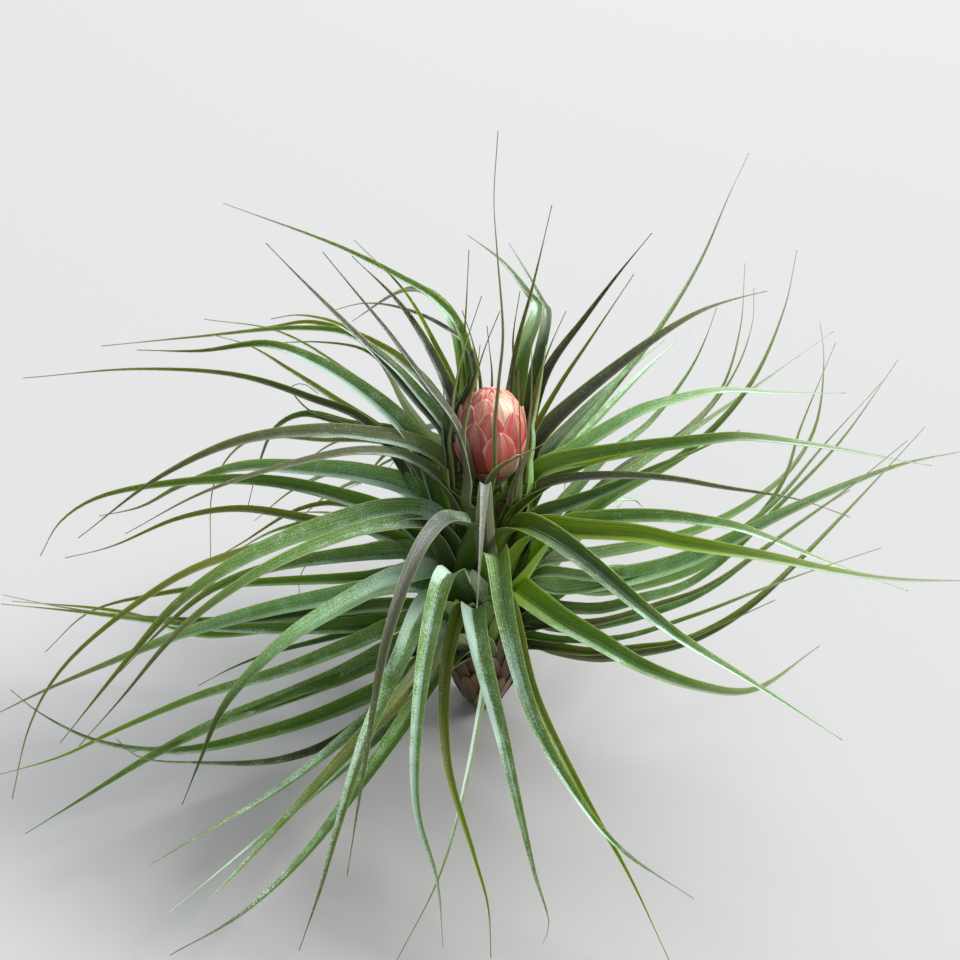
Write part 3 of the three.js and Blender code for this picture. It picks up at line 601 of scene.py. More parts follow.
class Maker:
    """Puts skins into a mesh, dresses it and hangs it on the frame."""

    def __init__(self, slot: str, node: str, material: bpy.types.Material) -> None:
        """Keeps the record's slot, which nothing uses, the node that the pieces stand for, and
        their finish.
        """
        self.slot, self.node, self.material = slot, node, material

    def build(self, name: str, skins: list[Skin]) -> bpy.types.Object:
        """Makes one piece from closed skins.

        Args:
            name: The piece's name.
            skins: Its skins, each with a column of the bake map.

        Returns:
            The piece, riding on the root body.
        """
        skins = [skin.outward() for skin in skins]
        points, faces, maps, values = [], [], [], {"tone": [], "place": [], "scales": []}
        first = 0
        for column, skin in enumerate(skins):
            rings, count = skin.points.shape[:2]
            total = rings * count
            ends = (first + total, first + total + 1)
            points += [skin.points.reshape(-1, 3), skin.points[[0, -1]].mean(axis=1)]
            for key in values:
                grid = getattr(skin, key)
                flat = grid.reshape(total, *grid.shape[2:])
                values[key] += [flat, flat[[0, -1]]]
            faces.append(corners_of(rings, count, first, ends))
            maps.append(map_of(rings, count, column, len(skins)))
            first += total + 2
        corners, uv = np.vstack(faces), np.vstack(maps)
        mesh = self._mesh(name, np.vstack(points) * SCALE, corners, uv)
        self._value(mesh, "tone", "FLOAT_COLOR", "color", values["tone"], 1.0)
        self._value(mesh, "place", "FLOAT_VECTOR", "vector", values["place"], None)
        self._value(mesh, "scales", "FLOAT", "value", values["scales"], None)
        mesh.materials.append(self.material)
        piece = bpy.data.objects.new(name, mesh)
        bpy.context.scene.collection.objects.link(piece)
        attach(piece, "root")
        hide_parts(self.node)
        LOG.info("%s: %d faces", name, len(corners))
        return piece

    @staticmethod
    def _mesh(name: str, points: Array, corners: Array, uv: Array) -> bpy.types.Mesh:
        """A smooth mesh from arrays.

        Args:
            name: The mesh's name.
            points: Points in metres.
            corners: Rows of four point numbers, with -1 last in a triangle.
            uv: Places of the corners on the bake map.

        Returns:
            The mesh.
        """
        mesh = bpy.data.meshes.new(name)
        used = corners >= 0
        sizes = used.sum(axis=1)
        mesh.vertices.add(len(points))
        mesh.loops.add(int(sizes.sum()))
        mesh.polygons.add(len(corners))
        mesh.vertices.foreach_set("co", points.astype(np.float32).ravel())
        mesh.loops.foreach_set("vertex_index", corners[used].astype(np.int32))
        starts = np.concatenate([[0], np.cumsum(sizes)[:-1]])
        mesh.polygons.foreach_set("loop_start", starts.astype(np.int32))
        mesh.polygons.foreach_set("use_smooth", np.ones(len(corners), bool))
        mesh.update(calc_edges=True)
        layer = mesh.uv_layers.new(name="OFBake")
        layer.data.foreach_set("uv", uv[used].astype(np.float32).ravel())
        mesh.validate()
        return mesh

    @staticmethod
    def _value(
        mesh: bpy.types.Mesh, name: str, kind: str, key: str, parts: list[Array],
        last: float | None,
    ) -> None:
        """Keeps one value for each point.

        Args:
            mesh: The mesh that keeps it.
            name: The value's name.
            kind: Its type.
            key: What that type calls its numbers.
            parts: The numbers, array after array.
            last: A fixed last number for every point, where there is one.
        """
        rows = np.concatenate(parts)
        if last is not None:
            rows = np.column_stack([rows, np.full(len(rows), last)])
        attribute = mesh.attributes.new(name, kind, "POINT")
        attribute.data.foreach_set(key, rows.astype(np.float32).ravel())


@dataclass(frozen=True)
class Coat:
    """Colour and pale scales of a leaf, with painted light: a painted highlight of thick scales on
    what faces the lamps, a painted reflection down the front leaves and a painted shade on what
    faces away.

    A band is where a smooth step starts and where it ends.

    Args:
        highlight_toward: Direction toward the lamps, which the painted highlight faces.
        highlight_band: Facings, as cosines, over which the scales thicken into the painted
            highlight.
        highlight_scales: What they gain there.
        shaded_scales: The part of a leaf's share of scales that the side away from the lamps
            keeps.
        front: Direction that the painted reflection, a pale stripe down the front leaves, faces.
        reflection_leaves: Band of the bearing's part toward the front, for those leaves.
        reflection_band: Facings over which the painted reflection appears.
        reflection_share: Strength of the painted reflection beside that of the painted highlight.
        bare_foot: The part of the scales that the foot has.
        foot_band: Shares of the length over which the scales grow in.
        shade_band: Facings over which a bare place comes out of the shade.
        shade_loss: What such a place loses of its red, green and blue in the shade.
        lightness: Lowest factor of a leaf's colour, and how far a draw raises it.
        middle_band: Shares of the length over which the foot's colour gives way.
        tip_band: The same for the middle's colour.
    """

    highlight_toward: Triple = (0.65, 0.20, 0.65)
    highlight_band: Pair = (0.62, 0.97)
    highlight_scales: float = 1.25
    shaded_scales: float = 0.38
    front: Triple = (0.10, -0.85, 0.45)
    reflection_leaves: Pair = (0.68, 0.92)
    reflection_band: Pair = (0.86, 0.99)
    reflection_share: float = 0.7
    bare_foot: float = 0.35
    foot_band: Pair = (0.03, 0.4)
    shade_band: Pair = (0.1, 0.7)
    shade_loss: Triple = (0.0, 0.04, 0.45)
    lightness: Pair = (0.88, 0.24)
    middle_band: Pair = (0.08, 0.42)
    tip_band: Pair = (0.5, 0.95)

    def blend(self, rows: Array, s: Array) -> Array:
        """Lets the foot's values give way to the middle's and those to the tip's.

        Args:
            rows: Values of the foot, the middle and the tip.
            s: Share of the length at each ring.

        Returns:
            A row to each ring.
        """
        mid = smooth_step(*self.middle_band, s)[:, None]
        tip = smooth_step(*self.tip_band, s)[:, None]
        return (rows[0] * (1 - mid) + rows[1] * mid) * (1 - tip) + rows[2] * tip

    def cover(
        self, tones: str, bearing: float, s: Array, normal: Array, draws: Draws
    ) -> tuple[Array, Array]:
        """Covers a leaf with its colour, its scales and the painted light on them.

        Args:
            tones: Names of the colours at foot, middle and tip.
            bearing: Bearing in radians.
            s: Share of the length at each ring.
            normal: The way that each place faces: rings by places by 3.
            draws: Seeded draws for a leaf a little lighter or darker than its name.

        Returns:
            Colours as light, and shares of pale scales.
        """
        table = np.array([Tone[name.upper()].value for name in tones.split()])
        tone = self.blend(to_linear(table[:, :3]) * draws.spread(*self.lightness), s)
        scales = self.blend(table[:, 3:], s)
        # Painted highlight: the scales thicken where a place faces the lamps.
        facing = normal @ unit(np.array(self.highlight_toward))
        # Painted reflection: a pale stripe down the leaves that point to the front.
        to_front = smooth_step(*self.reflection_leaves, np.array(-math.sin(bearing)))
        stripe = to_front * smooth_step(*self.reflection_band, normal @ unit(np.array(self.front)))
        grown = self.bare_foot + (1 - self.bare_foot) * smooth_step(*self.foot_band, s)
        # crest is the stronger of the painted highlight and the painted reflection.
        crest = np.maximum(smooth_step(*self.highlight_band, facing), self.reflection_share * stripe)
        scales = scales * (self.shaded_scales + self.highlight_scales * crest) * grown[:, None]
        shade = (1.0 - smooth_step(*self.shade_band, facing)) * (1.0 - np.minimum(1.0, scales))
        return tone[:, None, :] * (1.0 - shade[..., None] * np.array(self.shade_loss)), scales


@dataclass(frozen=True)
class Blade:
    """The shape that every leaf shares, in millimetres.

    The channel's height across the blade is the rise times the softened V of the share t
    from the middle: the root of t squared plus c squared, less c, scaled to 1 at the edge.

    Args:
        coat: Its colour and scales, with the painted light on them.
        rings: Rings along it.
        upper: Places across the upper side of a ring.
        lower: Places across the underside.
        taper: Power of the outline toward the tip.
        fullness: The outline's width at the foot, in stated widths.
        least_half: Half width of the thread at the tip.
        edge_rise: Height of the edges over the middle, in half widths.
        softness: The c of the channel.
        floor_depth: Thickness under the middle at the foot; half of it is left at the tip.
        slim_depth: The most for a narrow place, in half widths, and what is added to it.
        belly: Power by which the thickness falls toward the edge.
        edge_depth: Thickness at the edge.
        edge_full: Half width below which the edge thins out.
        lean_to_front: Turn of a blade that points right, in degrees.
        turn_in: Share of the length over which a blade takes its turn.
        sway: Small waves of the turn, in degrees.
        sway_waves: How many of them a blade has.
        sheath_half: Half width of the foot that clasps the stem, at most.
        sheath_share: The same in stated widths, at most.
        sheath_length: How far up the blade the foot's width is felt.
        sheath_rise: What the foot adds to the edges' height, in half widths.
        bud_span: Shares of the bud's height between which a leaf keeps clear of it.
        bud_radii: Shares of the height between which the bud's own radius counts.
        bud_gap: How far the middle line stays from the bud.
        bud_gap_share: What is added to that, in stated widths.
    """

    coat: Coat = Coat()
    rings: int = 44
    upper: int = 17
    lower: int = 11
    taper: float = 1.15
    fullness: float = 1.12
    least_half: float = 0.12
    edge_rise: float = 0.58
    softness: float = 0.26
    floor_depth: float = 1.05
    slim_depth: Pair = (0.32, 0.12)
    belly: float = 1.4
    edge_depth: float = 0.16
    edge_full: float = 1.5
    lean_to_front: float = 24.0
    turn_in: float = 0.3
    sway: float = 7.0
    sway_waves: float = 1.3
    sheath_half: float = 5.6
    sheath_share: float = 0.75
    sheath_length: float = 15.0
    sheath_rise: float = 0.5
    bud_span: Pair = (-0.1, 1.1)
    bud_radii: Pair = (0.3, 0.95)
    bud_gap: float = 1.6
    bud_gap_share: float = 0.22

    def sheath(self, length: Array) -> Array:
        """How much a place belongs to the leaf's wide foot: a bell curve of the length."""
        return np.exp(-((length / self.sheath_length) ** 2))

    def half_width(self, width: float, s: Array, length: Array) -> Array:
        """Half width: 1 less s, to the power of the taper, widened at the foot to a sheath.

        Args:
            width: The leaf's stated width.
            s: Share of the length at each ring.
            length: Length up to each ring.

        Returns:
            The half width at each ring.
        """
        blade = 0.5 * width * self.fullness * (1.0 - s) ** self.taper
        sheath = self.sheath(length)
        wide = np.maximum(blade, min(self.sheath_half, self.sheath_share * width))
        return np.maximum(self.least_half, blade * (1 - sheath) + wide * sheath)

    def clear_of_bud(self, path: Array, width: float) -> Array:
        """Moves points straight out where they would run through the bud.

        Args:
            path: Points of a middle line; the first one stays.
            width: The leaf's stated width.

        Returns:
            The points, clear of the bud.
        """
        share = (path[:, 2] - EGG.z) / (2.0 * EGG.half) + 0.5
        free = EGG.radius_at(np.clip(share, *self.bud_radii))
        free = free + self.bud_gap + self.bud_gap_share * width
        out = path[:, :2] - [EGG.x, 0.0]
        reach = np.linalg.norm(out, axis=1)
        low, high = self.bud_span
        push = (share > low) & (share < high) & (reach < free)
        push[0] = False
        scale = np.where(push, free / np.maximum(reach, 1e-6), 1.0)[:, None]
        moved = path.copy()
        moved[:, :2] = [EGG.x, 0.0] + out * scale
        return moved

    def axes(
        self, spine: Array, s: Array, bearing: float, roll: float, draws: Draws
    ) -> tuple[Array, Array]:
        """Unit vectors at each ring: across the blade, and out of its upper side.

        Args:
            spine: The middle line, a point to each ring.
            s: Share of the length at each ring.
            bearing: Bearing in radians; the blade lies across it.
            roll: Turn about its own length, in radians.
            draws: Seeded draws for where its waves start.

        Returns:
            The two rows of vectors.
        """
        along = unit(np.gradient(spine, axis=0))
        flat = np.array([-math.sin(bearing), math.cos(bearing), 0.0])
        side = unit(flat - (along @ flat)[:, None] * along)
        up = np.cross(along, side)
        lean = roll + math.radians(self.lean_to_front) * math.cos(bearing)
        wave = np.sin(2 * math.pi * (self.sway_waves * s + draws.next()))
        sway = math.radians(self.sway) * wave * s
        turn = (lean * np.minimum(1.0, s / self.turn_in) + sway)[:, None]
        return side * np.cos(turn) + up * np.sin(turn), up * np.cos(turn) - side * np.sin(turn)

    def heights(self, t: Array, above: Array, s: Array, half: Array, length: Array) -> Array:
        """Height of each place over the middle line.

        Args:
            t: Shares across, round a ring.
            above: 1 where a place is on the upper side, 0 on the underside.
            s: Share of the length at each ring.
            half: Half width at each ring.
            length: Length up to each ring.

        Returns:
            Rings by places: the channel and, on the underside, the channel less the thickness.
        """
        soft = self.softness
        channel = (np.sqrt(t * t + soft * soft) - soft) / (math.sqrt(1 + soft * soft) - soft)
        rise = half * (self.edge_rise + self.sheath_rise * self.sheath(length))
        share, least = self.slim_depth
        deep = np.minimum(self.floor_depth * (1 - 0.5 * s), share * half + least)
        edge = self.edge_depth * np.minimum(1.0, half / self.edge_full)
        thick = edge[:, None] + deep[:, None] * (1.0 - np.abs(t) ** self.belly)
        return rise[:, None] * (channel - 0.5) - np.where(above > 0, 0.0, thick)

    def skin(
        self, path: Array, width: float, bearing: float, roll: float, tones: str, draws: Draws
    ) -> Skin:
        """One leaf as a closed skin.

        Args:
            path: Points that its middle line passes through.
            width: Widest measure across.
            bearing: Bearing in radians; the blade lies across it.
            roll: Turn about its own length, in radians.
            tones: Names of the colours at foot, middle and tip.
            draws: Seeded draws for its small turns and shades.

        Returns:
            The skin.
        """
        spine = self.clear_of_bud(even_curve(path, self.rings - 1), width)
        s = np.linspace(0.0, 1.0, self.rings)
        wing, face = (rows[:, None, :] for rows in self.axes(spine, s, bearing, roll, draws))
        length = np.linalg.norm(np.diff(spine, axis=0), axis=1).sum() * s
        half = self.half_width(width, s, length)
        t, above = ring_places(self.upper, self.lower)
        height = self.heights(t, above, s, half, length)
        sideways = wing * (half[:, None] * t)[..., None]
        points = spine[:, None, :] + sideways + face * height[..., None]
        slope = self.edge_rise * t / np.sqrt(t * t + self.softness * self.softness)
        normal = unit(face - wing * slope[:, None]) * np.where(above > 0, 1.0, -1.0)[:, None]
        tone, scales = self.coat.cover(tones, bearing, s, normal, draws)
        return Skin(points, tone, layers(t, length[:, None], above), scales)


@dataclass(frozen=True)
class Rosette:
    """Every leaf, rooted in the stem by the rule that a leaf that passes higher starts higher.

    Args:
        blade: The shape of a leaf.
        root_radius: How far from the middle a leaf starts.
        root_low: Height of the lowest root of a leaf in the table.
        root_high: Height of the highest one.
        stem_top: Height of the stem.
        heart_height: Height that every leaf is taken to come from when its passing is measured.
        reach: How far out that is.
        neck_clear: A leaf whose first guide point is farther out has a neck before it.
        neck_radius: How far out the neck is.
        neck_rise: How high it is over the root.
        seed: Start of the draws for the leaves of the table.
        hidden_count: How many leaves nothing in the view shows.
        hidden_middle: Bearing of the middle of their fan, in degrees.
        hidden_spread: Width of the fan at the lowest and the highest of them, in degrees.
        hidden_roots: Height of the lowest and the highest root.
        hidden_reach: How far out they go.
        hidden_width: Their width.
        hidden_vary: Lowest factor of both, and how far a draw raises it.
        hidden_crest: How high they rise at most.
        hidden_rise: Least rise over the root, and how far a draw raises it.
        hidden_tip: Least height of a tip, in millimetres and in root heights, and the draw's part.
        hidden_seeds: Start of the draws for their paths and for their shades.
        hidden_tones: Colours that they take in turn.
        sectors: Parts of the full circle; the leaves of each are one piece.
    """

    blade: Blade = Blade()
    root_radius: float = 3.0
    root_low: float = 14.0
    root_high: float = 74.0
    stem_top: float = 81.9
    heart_height: float = 55.0
    reach: float = 22.0
    neck_clear: float = 15.0
    neck_radius: float = 10.5
    neck_rise: float = 9.0
    seed: int = 41
    hidden_count: int = 24
    hidden_middle: float = 92.0
    hidden_spread: Pair = (128.0, 62.0)
    hidden_roots: Pair = (12.0, 66.0)
    hidden_reach: float = 98.0
    hidden_width: float = 7.6
    hidden_vary: Pair = (0.85, 0.3)
    hidden_crest: float = 72.0
    hidden_rise: Pair = (14.0, 9.0)
    hidden_tip: Triple = (5.0, 0.35, 18.0)
    hidden_seeds: tuple[int, int] = (7, 23)
    hidden_tones: tuple[str, ...] = (
        "silver green olive", "green silver green", "green green olive"
    )
    sectors: int = 12

    def guides(self, leaf: Leaf) -> Array:
        """Guide points of a leaf in millimetres."""
        bearing = math.radians(leaf.bearing)
        return np.array([VIEW.point(guide, bearing) for guide in leaf.guides])

    def passing_height(self, leaf: Leaf) -> float:
        """Height of a leaf where it passes the reach, on the line between two of its points.

        Args:
            leaf: A row of the table.

        Returns:
            That height; a leaf that stays within the reach counts as higher than all that pass.
        """
        heart = around(self.root_radius, 0.0, self.heart_height)
        points = np.vstack([heart, self.guides(leaf)])
        out = np.hypot(points[:, 0], points[:, 1])
        for k in range(1, len(points)):
            if out[k] >= self.reach:
                share = max(0.0, (self.reach - out[k - 1]) / (out[k] - out[k - 1]))
                return points[k - 1, 2] + (points[k, 2] - points[k - 1, 2]) * share
        return 2 * self.stem_top + points[-1, 2]

    def path(self, leaf: Leaf, rank: float) -> Array:
        """Root, a neck clear of the bud where the leaf goes far out, then its guide points.

        Args:
            leaf: A row of the table.
            rank: 0 for the lowest root, 1 for the highest.

        Returns:
            The points in millimetres.
        """
        bearing = math.radians(leaf.bearing)
        root = self.root_low + (self.root_high - self.root_low) * rank
        guides = self.guides(leaf)
        start = [around(self.root_radius, bearing, root)]
        if np.hypot(*guides[0, :2]) > self.neck_clear:
            start.append(around(self.neck_radius, bearing, root + self.neck_rise))
        return np.vstack([*start, guides])

    def seen_leaves(self) -> list[tuple[float, Skin]]:
        """The leaves of the table, rooted in the order of their passing heights.

        Returns:
            Each leaf's bearing in degrees, and its skin.
        """
        heights = np.array([self.passing_height(leaf) for leaf in LEAVES])
        draws = Draws(self.seed)
        made = []
        for leaf, height in zip(LEAVES, heights):
            rank = float((heights < height).sum()) / (len(LEAVES) - 1)
            bearing, roll = math.radians(leaf.bearing), math.radians(leaf.roll)
            path = self.path(leaf, rank)
            skin = self.blade.skin(path, leaf.width, bearing, roll, leaf.tones, draws)
            made.append((leaf.bearing, skin))
        return made

    def hidden_path(self, root: float, bearing: float, draws: Draws) -> Array:
        """Path of a hidden leaf: out and up to a crest, then down, with a slight turn.

        Args:
            root: Height of its root.
            bearing: Bearing of its root, in radians.
            draws: Seeded draws for how far, how high and how low it goes.

        Returns:
            The points, at shares of its reach.
        """
        reach = self.hidden_reach * draws.spread(*self.hidden_vary)
        least, more = self.hidden_rise
        crest = min(self.hidden_crest, draws.spread(root + least, more))
        low, in_roots, more = self.hidden_tip
        tip = draws.spread(low + in_roots * root, more)
        # Each point: a share of the reach, a turn from the bearing, and a height between two.
        return np.array([
            around(self.root_radius, bearing, root),
            around(reach * 0.2, bearing, root + 0.7 * (crest - root)),
            around(reach * 0.5, bearing + 0.04, crest),
            around(reach * 0.8, bearing + 0.1, 0.55 * crest + 0.45 * tip),
            around(reach, bearing + 0.16, tip),
        ])

    def hidden_leaves(self) -> list[tuple[float, Skin]]:
        """Leaves that close the ring at the back, fanned out by the golden angle.

        Returns:
            Each leaf's bearing in degrees, and its skin.
        """
        draws, shades = (Draws(seed) for seed in self.hidden_seeds)
        made = []
        for k in range(self.hidden_count):
            rank = k / (self.hidden_count - 1)
            spread = np.interp(rank, [0, 1], self.hidden_spread)
            turn = (k * GOLDEN_ANGLE / (2 * math.pi)) % 1.0
            degrees = self.hidden_middle + (turn - 0.5) * spread
            bearing = math.radians(degrees)
            path = self.hidden_path(np.interp(rank, [0, 1], self.hidden_roots), bearing, draws)
            width = self.hidden_width * draws.spread(*self.hidden_vary)
            tones = self.hidden_tones[k % len(self.hidden_tones)]
            made.append((degrees, self.blade.skin(path, width, bearing, 0.0, tones, shades)))
        return made

    def build(self, maker: Maker) -> list[bpy.types.Object]:
        """Makes one piece for each sector of bearings.

        Args:
            maker: What makes the pieces.

        Returns:
            The pieces, from bearing 0 on.
        """
        leaves = self.seen_leaves() + self.hidden_leaves()
        step = 360.0 / self.sectors
        pieces = []
        for sector in range(self.sectors):
            skins = [skin for degrees, skin in leaves if int(degrees % 360.0 // step) == sector]
            if skins:
                pieces.append(maker.build(f"leaves_{int(sector * step):03d}", skins))
        return pieces


@dataclass(frozen=True)
class Wrap:
    """A golden-angle spiral of pointed sheaths round the stem.

    Args:
        name: The piece's name.
        count: How many sheaths.
        span: Heights of the lowest and the highest foot.
        colour: Display shares of their colour.
        seed: Start of the draws for their lengths, lifts and shades.
    """

    name: str
    count: int
    span: Pair
    colour: Triple
    seed: int


DRY_SHEATHS = Wrap("dry_sheaths", 34, (1.5, 24.0), (0.46, 0.36, 0.25), 97)
LEAF_BASES = Wrap("leaf_bases", 46, (22.0, 68.0), (0.40, 0.52, 0.09), 53)


@dataclass(frozen=True)
class Heart:
    """The short stem and the sheaths round it, in millimetres.

    Args:
        profile: Heights up the stem and the radius at each.
        lean: How far the stem's top stands to the right.
        grid: Rings up the stem and places round each.
        ridges: How many soft ridges wind round it.
        ridge: Height of a ridge, in radii.
        winding: Radians of their turn for each millimetre up.
        beat: Radians of their swelling and fading for each millimetre up.
        dry: Display shares of the foot's colour.
        green: Display shares of the top's colour.
        green_band: Heights between which the one turns into the other.
        stem_scales: Share of pale scales on the stem.
        sheath_rings: Rings along a sheath.
        sheath_places: Places across its upper side and across its underside.
        sheath_tall: Least length of a sheath, and how far a draw raises it.
        sheath_half: Its half width.
        sheath_lift: Least height of its tip off the stem, and how far a draw raises it.
        sheath_out: Height of its foot off the stem.
        sheath_deep: Its thickness.
        sheath_curl: Height of the folds across its tip.
        sheath_shade: Lowest factor of its colour, and how far a draw raises it.
        sheath_scales: Its share of pale scales.
    """

    profile: tuple[Pair, ...] = (
        (0, 4.6), (3, 6.6), (9, 8.8), (18, 10.4), (32, 10.6), (46, 9), (58, 7), (70, 5.4),
        (81.9, 4.6),
    )
    lean: float = 2.2
    grid: tuple[int, int] = (60, 48)
    ridges: int = 8
    ridge: float = 0.035
    winding: float = 0.22
    beat: float = 0.3
    dry: Triple = (0.26, 0.20, 0.13)
    green: Triple = (0.24, 0.33, 0.07)
    green_band: Pair = (10.0, 30.0)
    stem_scales: float = 0.1
    sheath_rings: int = 14
    sheath_places: tuple[int, int] = (9, 5)
    sheath_tall: Pair = (9.0, 5.0)
    sheath_half: float = 4.4
    sheath_lift: Pair = (0.8, 1.6)
    sheath_out: float = 0.35
    sheath_deep: float = 0.3
    sheath_curl: float = 0.25
    sheath_shade: Pair = (0.65, 0.7)
    sheath_scales: float = 0.15

    def radius_at(self, height: Array) -> Array:
        """Radius of the stem at a height, along straight lines between the profile's rows."""
        table = np.array(self.profile)
        return np.interp(height, table[:, 0], table[:, 1])

    def points(self, radius: Array, turn: Array, height: Array) -> Array:
        """Points round the stem's middle line, which bends by the cube of the height."""
        shift = self.lean * (height / self.profile[-1][0]) ** 3
        return layers(shift + radius * np.cos(turn), radius * np.sin(turn), height)

    def stem(self, maker: Maker) -> bpy.types.Object:
        """The stem: its radius swells by a spiral of soft ridges, as wrapped bases do.

        The swelling is the product of two sines: of the bearing, times the ridges and wound on
        with the height, and of the height alone.

        Args:
            maker: What makes the piece.

        Returns:
            The piece.
        """
        rings, places = self.grid
        height = np.linspace(0.0, self.profile[-1][0], rings)[:, None]
        turn = np.linspace(0.0, 2 * math.pi, places, endpoint=False)[None, :]
        wave = self.ridge * np.sin(self.ridges * turn + height * self.winding)
        points = self.points(
            self.radius_at(height) * (1.0 + wave * np.sin(height * self.beat)), turn, height
        )
        brown, green = to_linear(np.array([self.dry, self.green]))
        share = smooth_step(*self.green_band, height)[..., None]
        tone = np.broadcast_to(brown * (1 - share) + green * share, points.shape).copy()
        place = layers(np.cos(self.ridges / 2 * turn), height, 1.0)
        scales = np.full(points.shape[:2], self.stem_scales)
        return maker.build("stem", [Skin(points, tone, place, scales)])

    def wrap(self, maker: Maker, wrap: Wrap) -> bpy.types.Object:
        """Makes one spiral of sheaths, pressed to the stem.

        Args:
            maker: What makes the piece.
            wrap: The spiral.

        Returns:
            The piece.
        """
        draws = Draws(wrap.seed)
        skins = []
        for k in range(wrap.count):
            low = wrap.span[0] + (wrap.span[1] - wrap.span[0]) * k / (wrap.count - 1)
            skins.append(self.sheath(low, k * GOLDEN_ANGLE, wrap.colour, draws))
        return maker.build(wrap.name, skins)

    def sheath(self, low: float, bearing: float, colour: Triple, draws: Draws) -> Skin:
        """One sheath: a pointed patch of the stem's surface, lifted toward its tip.

        At the share s of its length its width is the root of 1 - s^1.8, a third slimmer at the
        tip. It lifts with the square of s, and its folds are the cosine of three times t.

        Args:
            low: Height of its foot.
            bearing: Bearing of its middle line, in radians.
            colour: Display shares of its colour.
            draws: Seeded draws for its length, lift and shade.

        Returns:
            The skin.
        """
        tall = draws.spread(*self.sheath_tall)
        lift = draws.spread(*self.sheath_lift)
        s = np.linspace(0.0, 1.0, self.sheath_rings)[:, None]
        t, above = ring_places(*self.sheath_places)
        height = low + tall * s
        least = 0.08
        half = np.maximum(least, self.sheath_half * np.sqrt(1.0 - s**1.8) * (1.0 - 0.35 * s))
        radius = self.radius_at(height)
        out = self.sheath_out + lift * s**2 + self.sheath_curl * np.cos(3 * t) * s
        out = out - np.where(above > 0, 0.0, self.sheath_deep)
        points = self.points(radius + out, bearing + half * t / (radius + 1.0), height)
        base = to_linear(np.array(colour)) * draws.spread(*self.sheath_shade)
        tone = base * (0.55 + 0.6 * s)[..., None] + 0 * points
        scales = np.full(points.shape[:2], self.sheath_scales)
        return Skin(points, tone, layers(t, height, above), scales)


